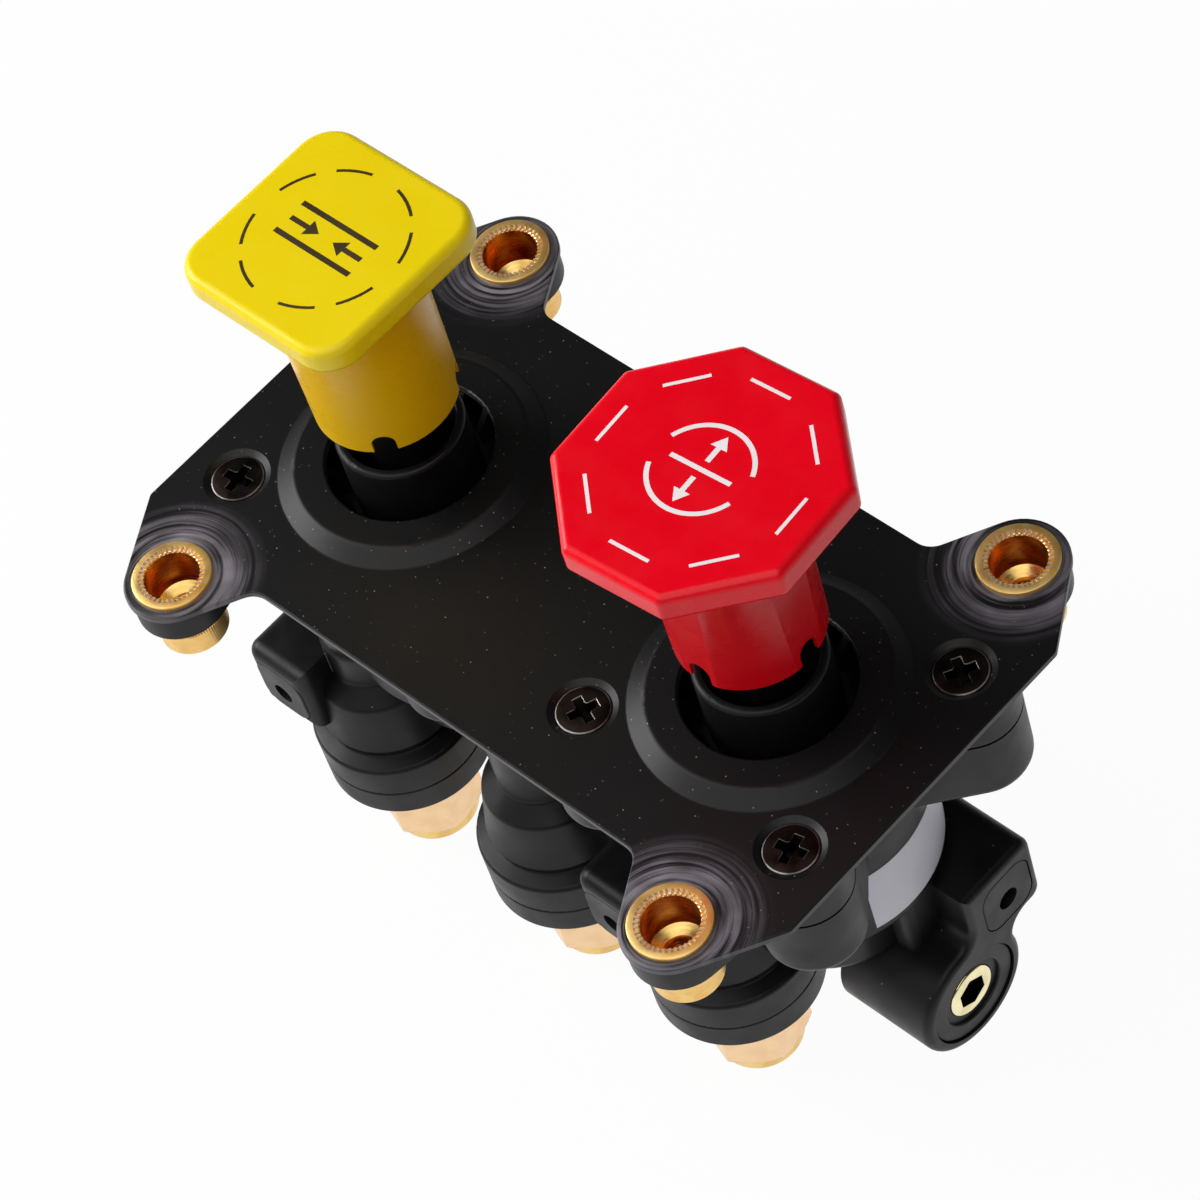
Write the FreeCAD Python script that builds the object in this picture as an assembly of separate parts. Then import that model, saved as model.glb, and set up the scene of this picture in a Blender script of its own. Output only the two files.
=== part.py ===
import FreeCAD, Part
import math
import os

V = FreeCAD.Vector
os.makedirs("parts", exist_ok=True)

# Air brake dash control valve, in millimetres. The origin is the centre of the mounting
# pattern on the cover plate's top face, +X runs along the plate, +Z points at the knobs.

# Clearances between pieces.
SLIDE_GAP = 0.05
SEAL_GAP = 0.02
SET_IN_GAP = 0.12
LOOSE_GAP = 0.3

# Edge roundings, how far solids run into each other before they are joined, and the
# difference below which two heights count as one.
CRISP = 0.2
SMALL = 0.3
SOFT = 0.5
OVERLAP = 0.5
SAME = 1e-4

# Mounting pattern and cover plate.
MOUNT_X = 57.15
MOUNT_Y = 41.275
PLATE_T = 1.2
PLATE_HALF_L = 73.2
PLATE_HALF_W = 34.9
PLATE_SIDE_Y = 31.4
EAR_R = 8.5
EAR_ROOT_X = 43.6
EAR_ROOT_ROUND = 4.0
PLATE_CORNER_ROUND = 1.5
PLATE_EDGE_ROUND = 0.3

# Knob axes and the raised rings round them.
KNOB_X = 40.64
KNOB_AXES = {"parking": (-KNOB_X, 0.0), "trailer": (KNOB_X, 0.0)}
RING_H = 2.0
RING_FOOT_R = 23.1
RING_TOP_R = 20.0
RING_OPENING_R = 14.5
RING_PATCH_R = 23.6
RING_UNDER_R = 19.6
RING_UNDER_FOOT_R = 22.3
RING_ROUND = 1.4
RING_LIP_ROUND = 0.4
RING_FOOT_ROUND = 0.6

# Countersunk cover screws in their dimples.
SCREWS = [(-63.1, -20.2), (-63.1, 20.2), (18.3, -20.2), (18.3, 20.2), (63.1, -20.2), (63.1, 20.2)]
DIMPLE_R = 5.9
DIMPLE_LIP_R = 4.85
DIMPLE_LIP_Z = -0.6
DIMPLE_HOLE_R = 2.4
DIMPLE_BOTTOM_Z = -4.2
DIMPLE_CONE_Z = DIMPLE_LIP_Z - (DIMPLE_LIP_R - DIMPLE_HOLE_R)
DIMPLE_UNDER_R = 2.95
SCREW_HEAD_R = 4.65
SCREW_TOP_Z = -0.45
SCREW_RIM_Z = DIMPLE_LIP_Z - (DIMPLE_LIP_R - SCREW_HEAD_R)
SCREW_R = 2.1
SCREW_END_Z = -17.0
SCREW_HOLE_UPPER_R = 2.3
SCREW_HOLE_END_Z = -20.0

# Brass mounting inserts.
INSERTS = {"front_left": (-1, -1), "front_right": (1, -1), "rear_left": (-1, 1), "rear_right": (1, 1)}
INSERT_FLANGE_R = 6.93
INSERT_FLANGE_H = 0.8
INSERT_BARREL_R = 6.0
INSERT_END_Z = -10.5
INSERT_BORE_R = 4.8
INSERT_BORE_END_Z = -7.5
INSERT_STEP_DROP = 1.0
INSERT_THREAD_R = 2.6
INSERT_EDGE = 0.25

# Upper housing.
UPPER_TOP_Z = -PLATE_T
PARTING_Z = -9.5
FLANGE_R = 24.5
BRIDGE_HALF_W = 17.0
LOBES = [(-63.1, -20.2), (-63.1, 20.2), (-18.3, -20.2), (-18.3, 20.2),
         (18.3, -20.2), (18.3, 20.2), (63.1, -20.2), (63.1, 20.2)]
LOBE_R = 8.5
LOBE_ROOT_R = 12.0
PAD_R = 8.0
PAD_BOTTOM_Z = -6.5
ARM_ROOT_X = 60.5
ARM_ROOT_Y = 22.0
ARM_ROOT_R = 7.0
RISER_R = 19.5
GROOVE_OUTER_R = 16.0
GROOVE_FLOOR_Z = -7.0
COLLAR_R = 11.2
COLLAR_BORE_R = 9.3
COLLAR_TOP_Z = 9.3
COLLAR_ROUND = 0.9
BUSH_TOP_Z = -3.0
RIB_COUNT = 15
RIB_FIRST_AZ = 6.0
RIB_W = 1.4
RIB_TOP_Z = -0.6
RIB_TOP_L = 1.0
RIB_INNER_Z = -4.6
RIB_INNER_R = 12.2

# Plungers. Heights are for the knobs pulled out.
STEM_R = 6.0
STEM_SHOULDER_Z = 24.0
STUD_R = 4.0
STUD_TOP_Z = 45.0
PISTON_R = 12.6
PISTON_TOP_Z = -11.3
PISTON_BOTTOM_Z = -15.5
PISTON_BORE_R = 13.0
PISTON_BORE_END_Z = -38.0
PISTON_SEAL_WIRE_R = 0.95
PISTON_SEAL_MEAN_R = PISTON_BORE_R - SLIDE_GAP - PISTON_SEAL_WIRE_R
PISTON_GROOVE_HALF = 1.05
SHANK_R = 5.0
CARRIER_R = 7.0
CARRIER_TOP_Z = -28.0
CARRIER_BOTTOM_Z = -29.5
DISC_R = 7.5
DISC_BOTTOM_Z = -32.0
DISC_SCREW_HEAD_R = 4.5
DISC_SCREW_HEAD_Z = -34.0
DISC_SCREW_R = 2.0
DISC_SCREW_TOP_Z = -24.0
DISC_ROUND = 0.4
TRAVEL = 12.7

# Seals and retainers round the stems.
STEM_SEAL_WIRE_R = 1.07
STEM_SEAL_MEAN_R = STEM_R + SLIDE_GAP + STEM_SEAL_WIRE_R
STEM_POCKET_R = STEM_SEAL_MEAN_R + STEM_SEAL_WIRE_R + SEAL_GAP
STEM_POCKET_TOP_Z = -7.3
RETAINER_INNER_R = 6.4
RETAINER_OUTER_R = 14.5
RETAINER_BOTTOM_Z = -11.0
RETAINER_BORE_R = RETAINER_OUTER_R + SLIDE_GAP

# Return springs and their seats.
SPRING_SEAT_INNER_R = SHANK_R + LOOSE_GAP
SPRING_SEAT_OUTER_R = 12.5
SPRING_SEAT_TOP_Z = PISTON_BOTTOM_Z - LOOSE_GAP
SPRING_SEAT_T = 1.0
SPRING_MEAN_R = 10.8
SPRING_WIRE_R = 0.7
SPRING_TURNS = 5
SPRING_STEPS_PER_TURN = 20
SPRING_SIDES = 8
VALVE_BORE_R = 8.5
VALVE_FLOOR_Z = -47.0
VALVE_SEAT_TOP_Z = DISC_BOTTOM_Z - TRAVEL - LOOSE_GAP
VALVE_SEAT_INNER_R = 5.4
VALVE_SEAT_OUTER_R = 6.8
EXHAUST_R = 3.0

# Gasket and lower housing.
GASKET_T = 0.5
LOWER_TOP_Z = PARTING_Z - GASKET_T
GASKET_INSET = 0.4
LOWER_FLANGE_Z = -14.0
LOWER_LOBE_Z = -24.0
LOWER_LOBE_ROUND = 2.0
MAIN_R = 21.2
MAIN_BOTTOM_Z = -45.5
MAIN_ROUND = 1.5
CHAMBER_R = 16.0
CHAMBER_BOTTOM_Z = -60.0
CHAMBER_ROUND = 2.0
WEB_HALF_L = 24.0
WEB_HALF_W = 9.0
WEB_BOTTOM_Z = -58.0

# Port bosses. The first three are the near ones.
PORTS = [(-54.5, -14.1), (-12.6, -14.1), (26.7, -14.1), (-26.7, 14.1), (12.6, 14.1)]
PORT_TOPS_Z = [-42.0, LOWER_FLANGE_Z, -42.0, -42.0, LOWER_FLANGE_Z]
PORT_STEM_R = 7.8
PORT_NECK_Z = -51.0
PORT_DRUM_TOP_R = 11.2
PORT_DRUM_TOP_Z = -54.2
PORT_DRUM_LOW_R = 12.9
PORT_DRUM_LOW_Z = -64.4
PORT_GROOVE_R = 12.3
PORT_GROOVE_Z = -66.3
PORT_R = 15.25
PORT_SHOULDER_Z = -67.4
PORT_PARTING_Z = -74.1
PORT_END_Z = -80.0
PORT_EDGE = 0.35
PORT_TOP_ROUND = 2.0
PORT_NECK_ROUND = 1.0
PORT_DRUM_ROUND = 1.4
PORT_GROOVE_RUN = 0.6
PORT_SHOULDER_ROUND = 1.0
PORT_END_ROUND = 0.6

# Brass port fittings, their seals and their seats in the bosses.
FITTING_AF = 17.0
FITTING_CORNER_AZ = 41.5
FITTING_HEX_END_Z = -97.0
FITTING_HEX_CHAMFER_R = 8.9
FITTING_LIP_R = 7.9
FITTING_LIP_ROUND = 0.7
FITTING_END_Z = -100.7
FITTING_BORE_R = 5.6
FITTING_BORE_CHAMFER = 0.6
FITTING_BORE_END_Z = -84.0
FITTING_PASSAGE_R = 4.0
FITTING_BARREL_R = 7.5
FITTING_COLLAR_R = 9.0
FITTING_COLLAR_TOP_Z = -70.6
FITTING_NOSE_R = 7.0
FITTING_NOSE_TOP_Z = -62.5
PORT_SEAL_WIRE_R = 1.0
PORT_SEAL_MEAN_R = FITTING_NOSE_R + SLIDE_GAP + PORT_SEAL_WIRE_R
PORT_POCKET_R = FITTING_COLLAR_R + 2 * SLIDE_GAP
PORT_POCKET_TOP_Z = FITTING_COLLAR_TOP_Z + 2 * PORT_SEAL_WIRE_R + 2 * SLIDE_GAP
PASSAGE_R = 2.5
PASSAGE_START_Z = -62.6
PASSAGE_REACH = 0.8
DELIVERY_Z = -42.0
SUPPLY_Z = -34.0
SUPPLY_Y = 6.0

# Lugs with set-in vent caps: the near left and middle ones, and the block at the right end.
LUG_TOP_Z = MAIN_BOTTOM_Z
LUG_BOTTOM_Z = -61.5
LUG_FRONT_Y = -28.7
LUG_W = 14.0
LUG_FROM_PORT = 16.5
LUG_ROUND = 2.5
LUG_PORTS = {"left": 0, "middle": 2}
VENT_W = 11.3
VENT_H = 11.8
VENT_ROUND = 3.4
VENT_T = 2.0
VENT_HOLE_R = 2.1
VENT_HOLE_DROP = 0.8
VENT_EDGE = 0.35
VENT_CHAMBER_R = 4.0
VENT_CHAMBER_DEPTH = 8.0
VENT_CENTRE_Z = -54.3
BLOCK_X0 = 50.0
BLOCK_Y0 = 5.0
BLOCK_Y1 = 21.5
BLOCK_BOTTOM_Z = -62.0
BLOCK_VENT_Y = 14.1
BLOCK_BLEND_R = 4.0
END_X = 68.0
END_ROUND = 1.5

# Double check valve along X under the right end.
CHECK_Y = 2.5
CHECK_Z = -69.8
CHECK_R = 11.8
CHECK_X0 = 48.5
COLUMN_HALF_W = 4.2
COLUMN_X1 = 61.0
COLUMN_ROUND = 2.0
CHECK_BORE_R = 7.0
CHECK_BORE_X0 = 53.4
CHECK_SEAT_T = 1.5
CHECK_SEAT_HOLE_R = 3.5
CHECK_TRAVEL = 1.8
CHECK_END_GAP = 0.1
SHUTTLE_L = 4.3
SHUTTLE_WAIST_R = 5.6
SHUTTLE_RIM_L = 1.2
CHECK_BORE_X1 = CHECK_BORE_X0 + CHECK_SEAT_T + SHUTTLE_L + 2 * (CHECK_TRAVEL + CHECK_END_GAP)
CHECK_CAP_R = 9.65
CHECK_CAP_X0 = 64.5
CHECK_CAP_X1 = 67.6
CHECK_CAP_RECESS_R = 6.5
CHECK_CAP_RECESS = 0.7
CHECK_PLUG_R = 5.0
CHECK_PLUG_X0 = 63.6
CHECK_PLUG_X1 = 67.3
CHECK_SOCKET_AF = 5.5
CHECK_SOCKET_DEPTH = 2.4
CHECK_INLET_X = 51.3
CHECK_INLET_R = 1.9
CHECK_OUTLET_X = 58.0
CHECK_DRILL_TOP_Z = -50.0

# Label band on the right main cylinder.
LABEL_T = 0.08
LABEL_TOP_Z = -28.3
LABEL_BOTTOM_Z = -43.0
LABEL_START_AZ = -20.5
LABEL_SPAN = 95.5

# Knobs, pulled out.
NECK_BOTTOM_Z = 17.5
NECK_BOTTOM_R = 12.4
NECK_TOP_R = 12.8
NECK_FLAT = 12.0
NECK_INNER_R = COLLAR_R + LOOSE_GAP
NECK_CAVITY_TOP_Z = 49.0
NOTCH_W = 4.0
NOTCH_H = 4.0
BOSS_R = 7.5
BOSS_HOLE_TOP_Z = 45.5
KNOB_RIB_W = 1.2
KNOB_RIB_Z = 28.0
SQUARE_W = 36.8
SQUARE_ROUND = 6.5
SQUARE_Z0 = 51.3
SQUARE_Z1 = 56.8
OCTAGON_AF = 44.5
OCTAGON_ROUND = 1.5
OCTAGON_AZ = 4.28
OCTAGON_Z0 = 51.5
OCTAGON_Z1 = 57.4
HEAD_ROUND = 1.5
NOTCH_AZ = {"parking": 45.0, "trailer": OCTAGON_AZ}


def cyl(r, z0, z1, x=0.0, y=0.0):
    return Part.makeCylinder(r, z1 - z0, V(x, y, z0))


def cyl_x(r, x0, x1, y, z):
    return Part.makeCylinder(r, x1 - x0, V(x0, y, z), V(1, 0, 0))


def drill(r, start, end):
    run = V(*end) - V(*start)
    return Part.makeCylinder(r, run.Length, V(*start), run)


def box(x0, x1, y0, y1, z0, z1):
    return Part.makeBox(x1 - x0, y1 - y0, z1 - z0, V(x0, y0, z0))


def rounded_wire(points, lift):
    """Closed wire through (a, b) or (a, b, corner radius) points; lift makes them vectors."""
    corners = []
    count = len(points)
    for i in range(count):
        here = V(points[i][0], points[i][1], 0)
        radius = points[i][2] if len(points[i]) > 2 else 0
        if radius == 0:
            corners.append((here, here, None))
            continue
        to_last = V(points[i - 1][0], points[i - 1][1], 0) - here
        to_next = V(points[(i + 1) % count][0], points[(i + 1) % count][1], 0) - here
        half = to_last.getAngle(to_next) / 2
        to_last.normalize()
        to_next.normalize()
        bisector = to_last + to_next
        bisector.normalize()
        back = radius / math.tan(half)
        centre = here + bisector * (radius / math.sin(half))
        corners.append((here + to_last * back, here + to_next * back, centre - bisector * radius))
    edges = []
    for i in range(count):
        start, end, middle = corners[i]
        if middle is not None:
            edges.append(Part.Arc(lift(start), lift(middle), lift(end)).toShape())
        following = corners[(i + 1) % count][0]
        if (following - end).Length > 1e-5:
            edges.append(Part.makeLine(lift(end), lift(following)))
    return Part.Wire(edges)


def turned(points, x=0.0, y=0.0, span=360.0):
    """Solid of revolution from (radius, height) points about the vertical through x, y."""
    wire = rounded_wire(points, lambda p: V(p.x, 0, p.y))
    solid = Part.Face(wire).revolve(V(0, 0, 0), V(0, 0, 1), span)
    solid.translate(V(x, y, 0))
    return solid


def prism(points, z0, z1):
    wire = rounded_wire(points, lambda p: V(p.x, p.y, z0))
    return Part.Face(wire).extrude(V(0, 0, z1 - z0))


def ring(minor, major, z, x, y):
    return Part.makeTorus(major, minor, V(x, y, z))


def regular(count, across_flats, first_az, x=0.0, y=0.0, rounding=0.0):
    """Corner points of a regular polygon."""
    reach = across_flats / 2 / math.cos(math.pi / count)
    points = []
    for i in range(count):
        az = math.radians(first_az + 360.0 * i / count)
        points.append((x + reach * math.cos(az), y + reach * math.sin(az), rounding))
    return points


def hull(a, ra, b, rb, z0, z1):
    """Upright solid round two circles, with straight tangent sides."""
    run = math.hypot(b[0] - a[0], b[1] - a[1])
    az = math.atan2(b[1] - a[1], b[0] - a[0])
    spread = math.acos((ra - rb) / run)
    corners = []
    for centre, r, side in ((a, ra, 1), (a, ra, -1), (b, rb, -1), (b, rb, 1)):
        t = az + side * spread
        corners.append((centre[0] + r * math.cos(t), centre[1] + r * math.sin(t)))
    return fuse([prism(corners, z0, z1), cyl(ra, z0, z1, *a), cyl(rb, z0, z1, *b)])


def fuse(shapes):
    return shapes[0].multiFuse(shapes[1:]).removeSplitter()


def cut(shape, tools):
    return shape.cut(Part.makeCompound(tools)).removeSplitter()


def fillet_where(shape, radius, test):
    """Round the edges whose centre and box pass the test."""
    edges = [e for e in shape.Edges if test(e.CenterOfMass, e.BoundBox)]
    return shape.makeFillet(radius, edges)


def flat_at(box_, z):
    return abs(box_.ZMin - z) < SAME and abs(box_.ZMax - z) < SAME


def save(name, shape):
    if not shape.isValid():
        raise ValueError(name + " is not valid")
    shape.exportStep("parts/" + name + ".step")


def tangent_dir(start, centre, r, side):
    """Direction in radians from start to the tangent point of a circle."""
    run = math.hypot(centre[0] - start[0], centre[1] - start[1])
    return math.atan2(centre[1] - start[1], centre[0] - start[0]) + side * math.asin(r / run)


def meet(p, p_az, q, q_az):
    """Crossing of two lines given by a point and a direction."""
    det = math.sin(p_az - q_az)
    t = ((q[0] - p[0]) * math.sin(q_az) - (q[1] - p[1]) * math.cos(q_az)) / -det
    return (p[0] + t * math.cos(p_az), p[1] + t * math.sin(p_az))


def plate_outline():
    """Points of the plate's outline: each ear is one rounded corner of the polygon."""
    side = (PLATE_HALF_L, PLATE_SIDE_Y)
    root = (EAR_ROOT_X, PLATE_HALF_W)
    ear = (MOUNT_X, MOUNT_Y)
    tip = meet(side, tangent_dir(side, ear, EAR_R, -1), root, tangent_dir(root, ear, EAR_R, 1))
    corner = [(side[0], side[1], PLATE_CORNER_ROUND), (tip[0], tip[1], EAR_R),
              (root[0], root[1], EAR_ROOT_ROUND)]
    points = []
    for sx, sy in ((1, 1), (-1, 1), (-1, -1), (1, -1)):
        ordered = corner if sx * sy > 0 else corner[::-1]
        points += [(sx * a, sy * b, r) for a, b, r in ordered]
    return points


def cover_plate():
    plate = prism(plate_outline(), -PLATE_T, 0.0)
    plate = fillet_where(plate, PLATE_EDGE_ROUND, lambda c, b: flat_at(b, 0.0))
    holes = [cyl(RING_PATCH_R, -PLATE_T, 0.0, *axis) for axis in KNOB_AXES.values()]
    holes += [cyl(DIMPLE_R, -PLATE_T, 0.0, *at) for at in SCREWS]
    holes += [cyl(INSERT_BARREL_R + SLIDE_GAP, -PLATE_T, 0.0, sx * MOUNT_X, sy * MOUNT_Y)
              for sx, sy in INSERTS.values()]
    plate = cut(plate, holes)
    patches = []
    for x, y in KNOB_AXES.values():
        patches.append(turned([
            (RING_OPENING_R, RING_H, RING_LIP_ROUND), (RING_OPENING_R, RING_H - PLATE_T),
            (RING_UNDER_R, RING_H - PLATE_T), (RING_UNDER_FOOT_R, -PLATE_T),
            (RING_PATCH_R, -PLATE_T), (RING_PATCH_R, 0.0), (RING_FOOT_R, 0.0, RING_FOOT_ROUND),
            (RING_TOP_R, RING_H, RING_ROUND)], x, y))
    for x, y in SCREWS:
        patches.append(turned([
            (DIMPLE_R, 0.0), (DIMPLE_LIP_R, DIMPLE_LIP_Z), (DIMPLE_HOLE_R, DIMPLE_CONE_Z),
            (DIMPLE_HOLE_R, DIMPLE_BOTTOM_Z), (DIMPLE_UNDER_R, DIMPLE_BOTTOM_Z),
            (DIMPLE_R, -PLATE_T)], x, y))
    return fuse([plate] + patches)


def cover_screws():
    profile = [(0.0, SCREW_TOP_Z), (SCREW_HEAD_R, SCREW_TOP_Z, CRISP), (SCREW_HEAD_R, SCREW_RIM_Z),
               (SCREW_R, SCREW_RIM_Z - (SCREW_HEAD_R - SCREW_R)), (SCREW_R, SCREW_END_Z, SOFT),
               (0.0, SCREW_END_Z)]
    return Part.makeCompound([turned(profile, x, y) for x, y in SCREWS])


def insert(x, y):
    return turned([
        (INSERT_BORE_R, INSERT_FLANGE_H, INSERT_EDGE), (INSERT_BORE_R, INSERT_BORE_END_Z),
        (INSERT_THREAD_R, INSERT_BORE_END_Z - INSERT_STEP_DROP), (INSERT_THREAD_R, INSERT_END_Z),
        (INSERT_BARREL_R, INSERT_END_Z, INSERT_EDGE), (INSERT_BARREL_R, 0.0),
        (INSERT_FLANGE_R, 0.0), (INSERT_FLANGE_R, INSERT_FLANGE_H, INSERT_EDGE)], x, y)


def flange(z0, z1, inset=0.0):
    """The outline both housings share: two rounds, a bridge and eight lobes."""
    solids = [box(-KNOB_X, KNOB_X, -BRIDGE_HALF_W + inset, BRIDGE_HALF_W - inset, z0, z1)]
    for x, y in KNOB_AXES.values():
        solids.append(cyl(FLANGE_R - inset, z0, z1, x, y))
    for at in LOBES:
        root = (math.copysign(KNOB_X, at[0]), 0.0)
        solids.append(hull(at, LOBE_R - inset, root, LOBE_ROOT_R, z0, z1))
    return fuse(solids)


def groove_ribs(x, y):
    """Ribs that stand in the recess, joined to its wall and lower towards the collar."""
    wall = GROOVE_OUTER_R + OVERLAP
    floor = GROOVE_FLOOR_Z - OVERLAP
    wire = rounded_wire([(wall, RIB_TOP_Z), (GROOVE_OUTER_R - RIB_TOP_L, RIB_TOP_Z, SOFT),
                         (RIB_INNER_R, RIB_INNER_Z), (RIB_INNER_R, floor), (wall, floor)],
                        lambda p: V(p.x, -RIB_W / 2, p.y))
    rib = Part.Face(wire).extrude(V(0, RIB_W, 0))
    ribs = []
    for i in range(RIB_COUNT):
        copy = rib.copy()
        copy.rotate(V(0, 0, 0), V(0, 0, 1), RIB_FIRST_AZ + 360.0 * i / RIB_COUNT)
        copy.translate(V(x, y, 0))
        ribs.append(copy)
    return ribs


def upper_housing():
    solids = [flange(PARTING_Z, UPPER_TOP_Z)]
    for sx, sy in INSERTS.values():
        pad = (sx * MOUNT_X, sy * MOUNT_Y)
        root = (sx * ARM_ROOT_X, sy * ARM_ROOT_Y)
        solids.append(hull(pad, PAD_R, root, ARM_ROOT_R, PAD_BOTTOM_Z, UPPER_TOP_Z))
    for x, y in KNOB_AXES.values():
        solids.append(cyl(RISER_R, PARTING_Z, RING_H - PLATE_T, x, y))
    body = fuse(solids)
    tools = []
    for x, y in KNOB_AXES.values():
        tools.append(cyl(GROOVE_OUTER_R, GROOVE_FLOOR_Z, COLLAR_TOP_Z, x, y))
        tools.append(cyl(STEM_R + SLIDE_GAP, PARTING_Z, COLLAR_TOP_Z, x, y))
        tools.append(cyl(STEM_POCKET_R, PARTING_Z, STEM_POCKET_TOP_Z, x, y))
    for x, y in SCREWS:
        tools.append(cyl(SCREW_HOLE_UPPER_R, PARTING_Z, UPPER_TOP_Z, x, y))
        tools.append(turned([(0.0, UPPER_TOP_Z), (DIMPLE_R + SLIDE_GAP, UPPER_TOP_Z),
                             (DIMPLE_UNDER_R + SLIDE_GAP, DIMPLE_BOTTOM_Z),
                             (0.0, DIMPLE_BOTTOM_Z)], x, y))
    for sx, sy in INSERTS.values():
        tools.append(cyl(INSERT_BARREL_R + SEAL_GAP, PARTING_Z, UPPER_TOP_Z, sx * MOUNT_X, sy * MOUNT_Y))
    body = cut(body, tools)
    added = []
    for x, y in KNOB_AXES.values():
        added.append(turned([
            (COLLAR_BORE_R, COLLAR_TOP_Z, COLLAR_ROUND), (COLLAR_BORE_R, BUSH_TOP_Z),
            (STEM_R + SLIDE_GAP, BUSH_TOP_Z, SMALL), (STEM_R + SLIDE_GAP, GROOVE_FLOOR_Z),
            (COLLAR_R, GROOVE_FLOOR_Z), (COLLAR_R, COLLAR_TOP_Z, COLLAR_ROUND)], x, y))
        added += groove_ribs(x, y)
    return fuse([body] + added)


def housing_gasket():
    tools = [cyl(RETAINER_BORE_R, LOWER_TOP_Z, PARTING_Z, x, y) for x, y in KNOB_AXES.values()]
    tools += [cyl(SCREW_HOLE_UPPER_R, LOWER_TOP_Z, PARTING_Z, x, y) for x, y in SCREWS]
    return cut(flange(LOWER_TOP_Z, PARTING_Z, GASKET_INSET), tools)


def lower_flange_and_cylinders():
    solids = [flange(LOWER_FLANGE_Z, LOWER_TOP_Z)]
    for at in LOBES:
        root = (math.copysign(KNOB_X, at[0]), 0.0)
        lobe = hull(at, LOBE_R, root, LOBE_ROOT_R, LOWER_LOBE_Z, LOWER_TOP_Z)
        solids.append(fillet_where(lobe, LOWER_LOBE_ROUND, lambda c, b: flat_at(b, LOWER_LOBE_Z)))
    for x, y in KNOB_AXES.values():
        solids.append(turned([(0.0, LOWER_TOP_Z), (0.0, MAIN_BOTTOM_Z), (MAIN_R, MAIN_BOTTOM_Z, MAIN_ROUND),
                              (MAIN_R, LOWER_TOP_Z)], x, y))
        solids.append(turned([(0.0, MAIN_BOTTOM_Z + OVERLAP), (0.0, CHAMBER_BOTTOM_Z),
                              (CHAMBER_R, CHAMBER_BOTTOM_Z, CHAMBER_ROUND),
                              (CHAMBER_R, MAIN_BOTTOM_Z + OVERLAP)], x, y))
    solids.append(box(-WEB_HALF_L, WEB_HALF_L, -WEB_HALF_W, WEB_HALF_W, WEB_BOTTOM_Z, LOWER_TOP_Z))
    return solids


def port_boss(x, y, top):
    return turned([
        (0.0, top), (PORT_STEM_R, top, PORT_TOP_ROUND), (PORT_STEM_R, PORT_NECK_Z, PORT_NECK_ROUND),
        (PORT_DRUM_TOP_R, PORT_DRUM_TOP_Z, PORT_DRUM_ROUND), (PORT_DRUM_LOW_R, PORT_DRUM_LOW_Z, SOFT),
        (PORT_GROOVE_R, PORT_DRUM_LOW_Z - PORT_GROOVE_RUN), (PORT_GROOVE_R, PORT_GROOVE_Z, SMALL),
        (PORT_R, PORT_SHOULDER_Z, PORT_SHOULDER_ROUND), (PORT_R, PORT_PARTING_Z, PORT_EDGE),
        (0.0, PORT_PARTING_Z)], x, y)


def lug(port):
    x0 = port[0] - LUG_FROM_PORT
    block = box(x0, x0 + LUG_W, LUG_FRONT_Y, port[1], LUG_BOTTOM_Z, LUG_TOP_Z)
    return fillet_where(block, LUG_ROUND, lambda c, b: abs(c.y - LUG_FRONT_Y) < SAME
                        or abs(c.x - x0) < SAME and b.ZMax - b.ZMin < SAME)


def end_block():
    """The right end: check valve housing and vent block, blended, with one shared end face."""
    body = fuse([
        cyl_x(CHECK_R, BLOCK_X0, END_X, CHECK_Y, CHECK_Z),
        box(BLOCK_X0, END_X, BLOCK_Y0, BLOCK_Y1, BLOCK_BOTTOM_Z, LUG_TOP_Z)])
    body = fillet_where(body, BLOCK_BLEND_R, lambda c, b: b.XLength > SAME and c.y < BLOCK_Y1 - SAME
                        and b.YLength < SAME and b.ZLength < SAME and c.z < LUG_TOP_Z - SAME
                        and (abs(c.y - BLOCK_Y0) < SAME or abs(c.z - BLOCK_BOTTOM_Z) < SAME))
    body = fillet_where(body, LUG_ROUND, lambda c, b: abs(c.y - BLOCK_Y1) < SAME and b.XLength > SAME)
    body = fillet_where(body, END_ROUND, lambda c, b: abs(b.XMin - END_X) < SAME)
    column = box(CHECK_X0, COLUMN_X1, CHECK_Y - COLUMN_HALF_W, CHECK_Y + COLUMN_HALF_W,
                 CHECK_Z, MAIN_BOTTOM_Z + OVERLAP)
    column = fillet_where(column, COLUMN_ROUND, lambda c, b: abs(c.x - COLUMN_X1) < SAME
                          and abs(c.y - CHECK_Y + COLUMN_HALF_W) < SAME)
    return fuse([body, column, cyl_x(CHECK_R, CHECK_X0, BLOCK_X0 + OVERLAP, CHECK_Y, CHECK_Z)])


def vent_cap_solid(grow, hole_r, depth):
    """Set-in cap in its own frame: width on X, height on Y, outer face at Z 0."""
    half_w = VENT_W / 2 + grow
    half_h = VENT_H / 2 + grow
    corner = VENT_ROUND + grow
    solid = prism([(-half_w, -half_h, corner), (half_w, -half_h, corner), (half_w, half_h, corner),
                   (-half_w, half_h, corner)], -depth, 0.0)
    if hole_r > 0:
        solid = fillet_where(solid, VENT_EDGE, lambda c, b: flat_at(b, 0.0))
        solid = cut(solid, [cyl(hole_r, -depth, 0.0, 0.0, -VENT_HOLE_DROP)])
    return solid


def face_front(shape, x, z):
    """Turn a shape in the cap frame to face -Y on the lugs' front."""
    shape.Placement = FreeCAD.Placement(V(x, LUG_FRONT_Y, z), FreeCAD.Rotation(V(1, 0, 0), 90))
    return shape


def face_right(shape, y, z):
    """Turn a shape in the cap frame to face +X on the right end."""
    shape.Placement = FreeCAD.Placement(V(END_X, y, z), FreeCAD.Rotation(V(1, 1, 1), 120))
    return shape


def lug_centre_x(name):
    return PORTS[LUG_PORTS[name]][0] - LUG_FROM_PORT + LUG_W / 2


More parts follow.
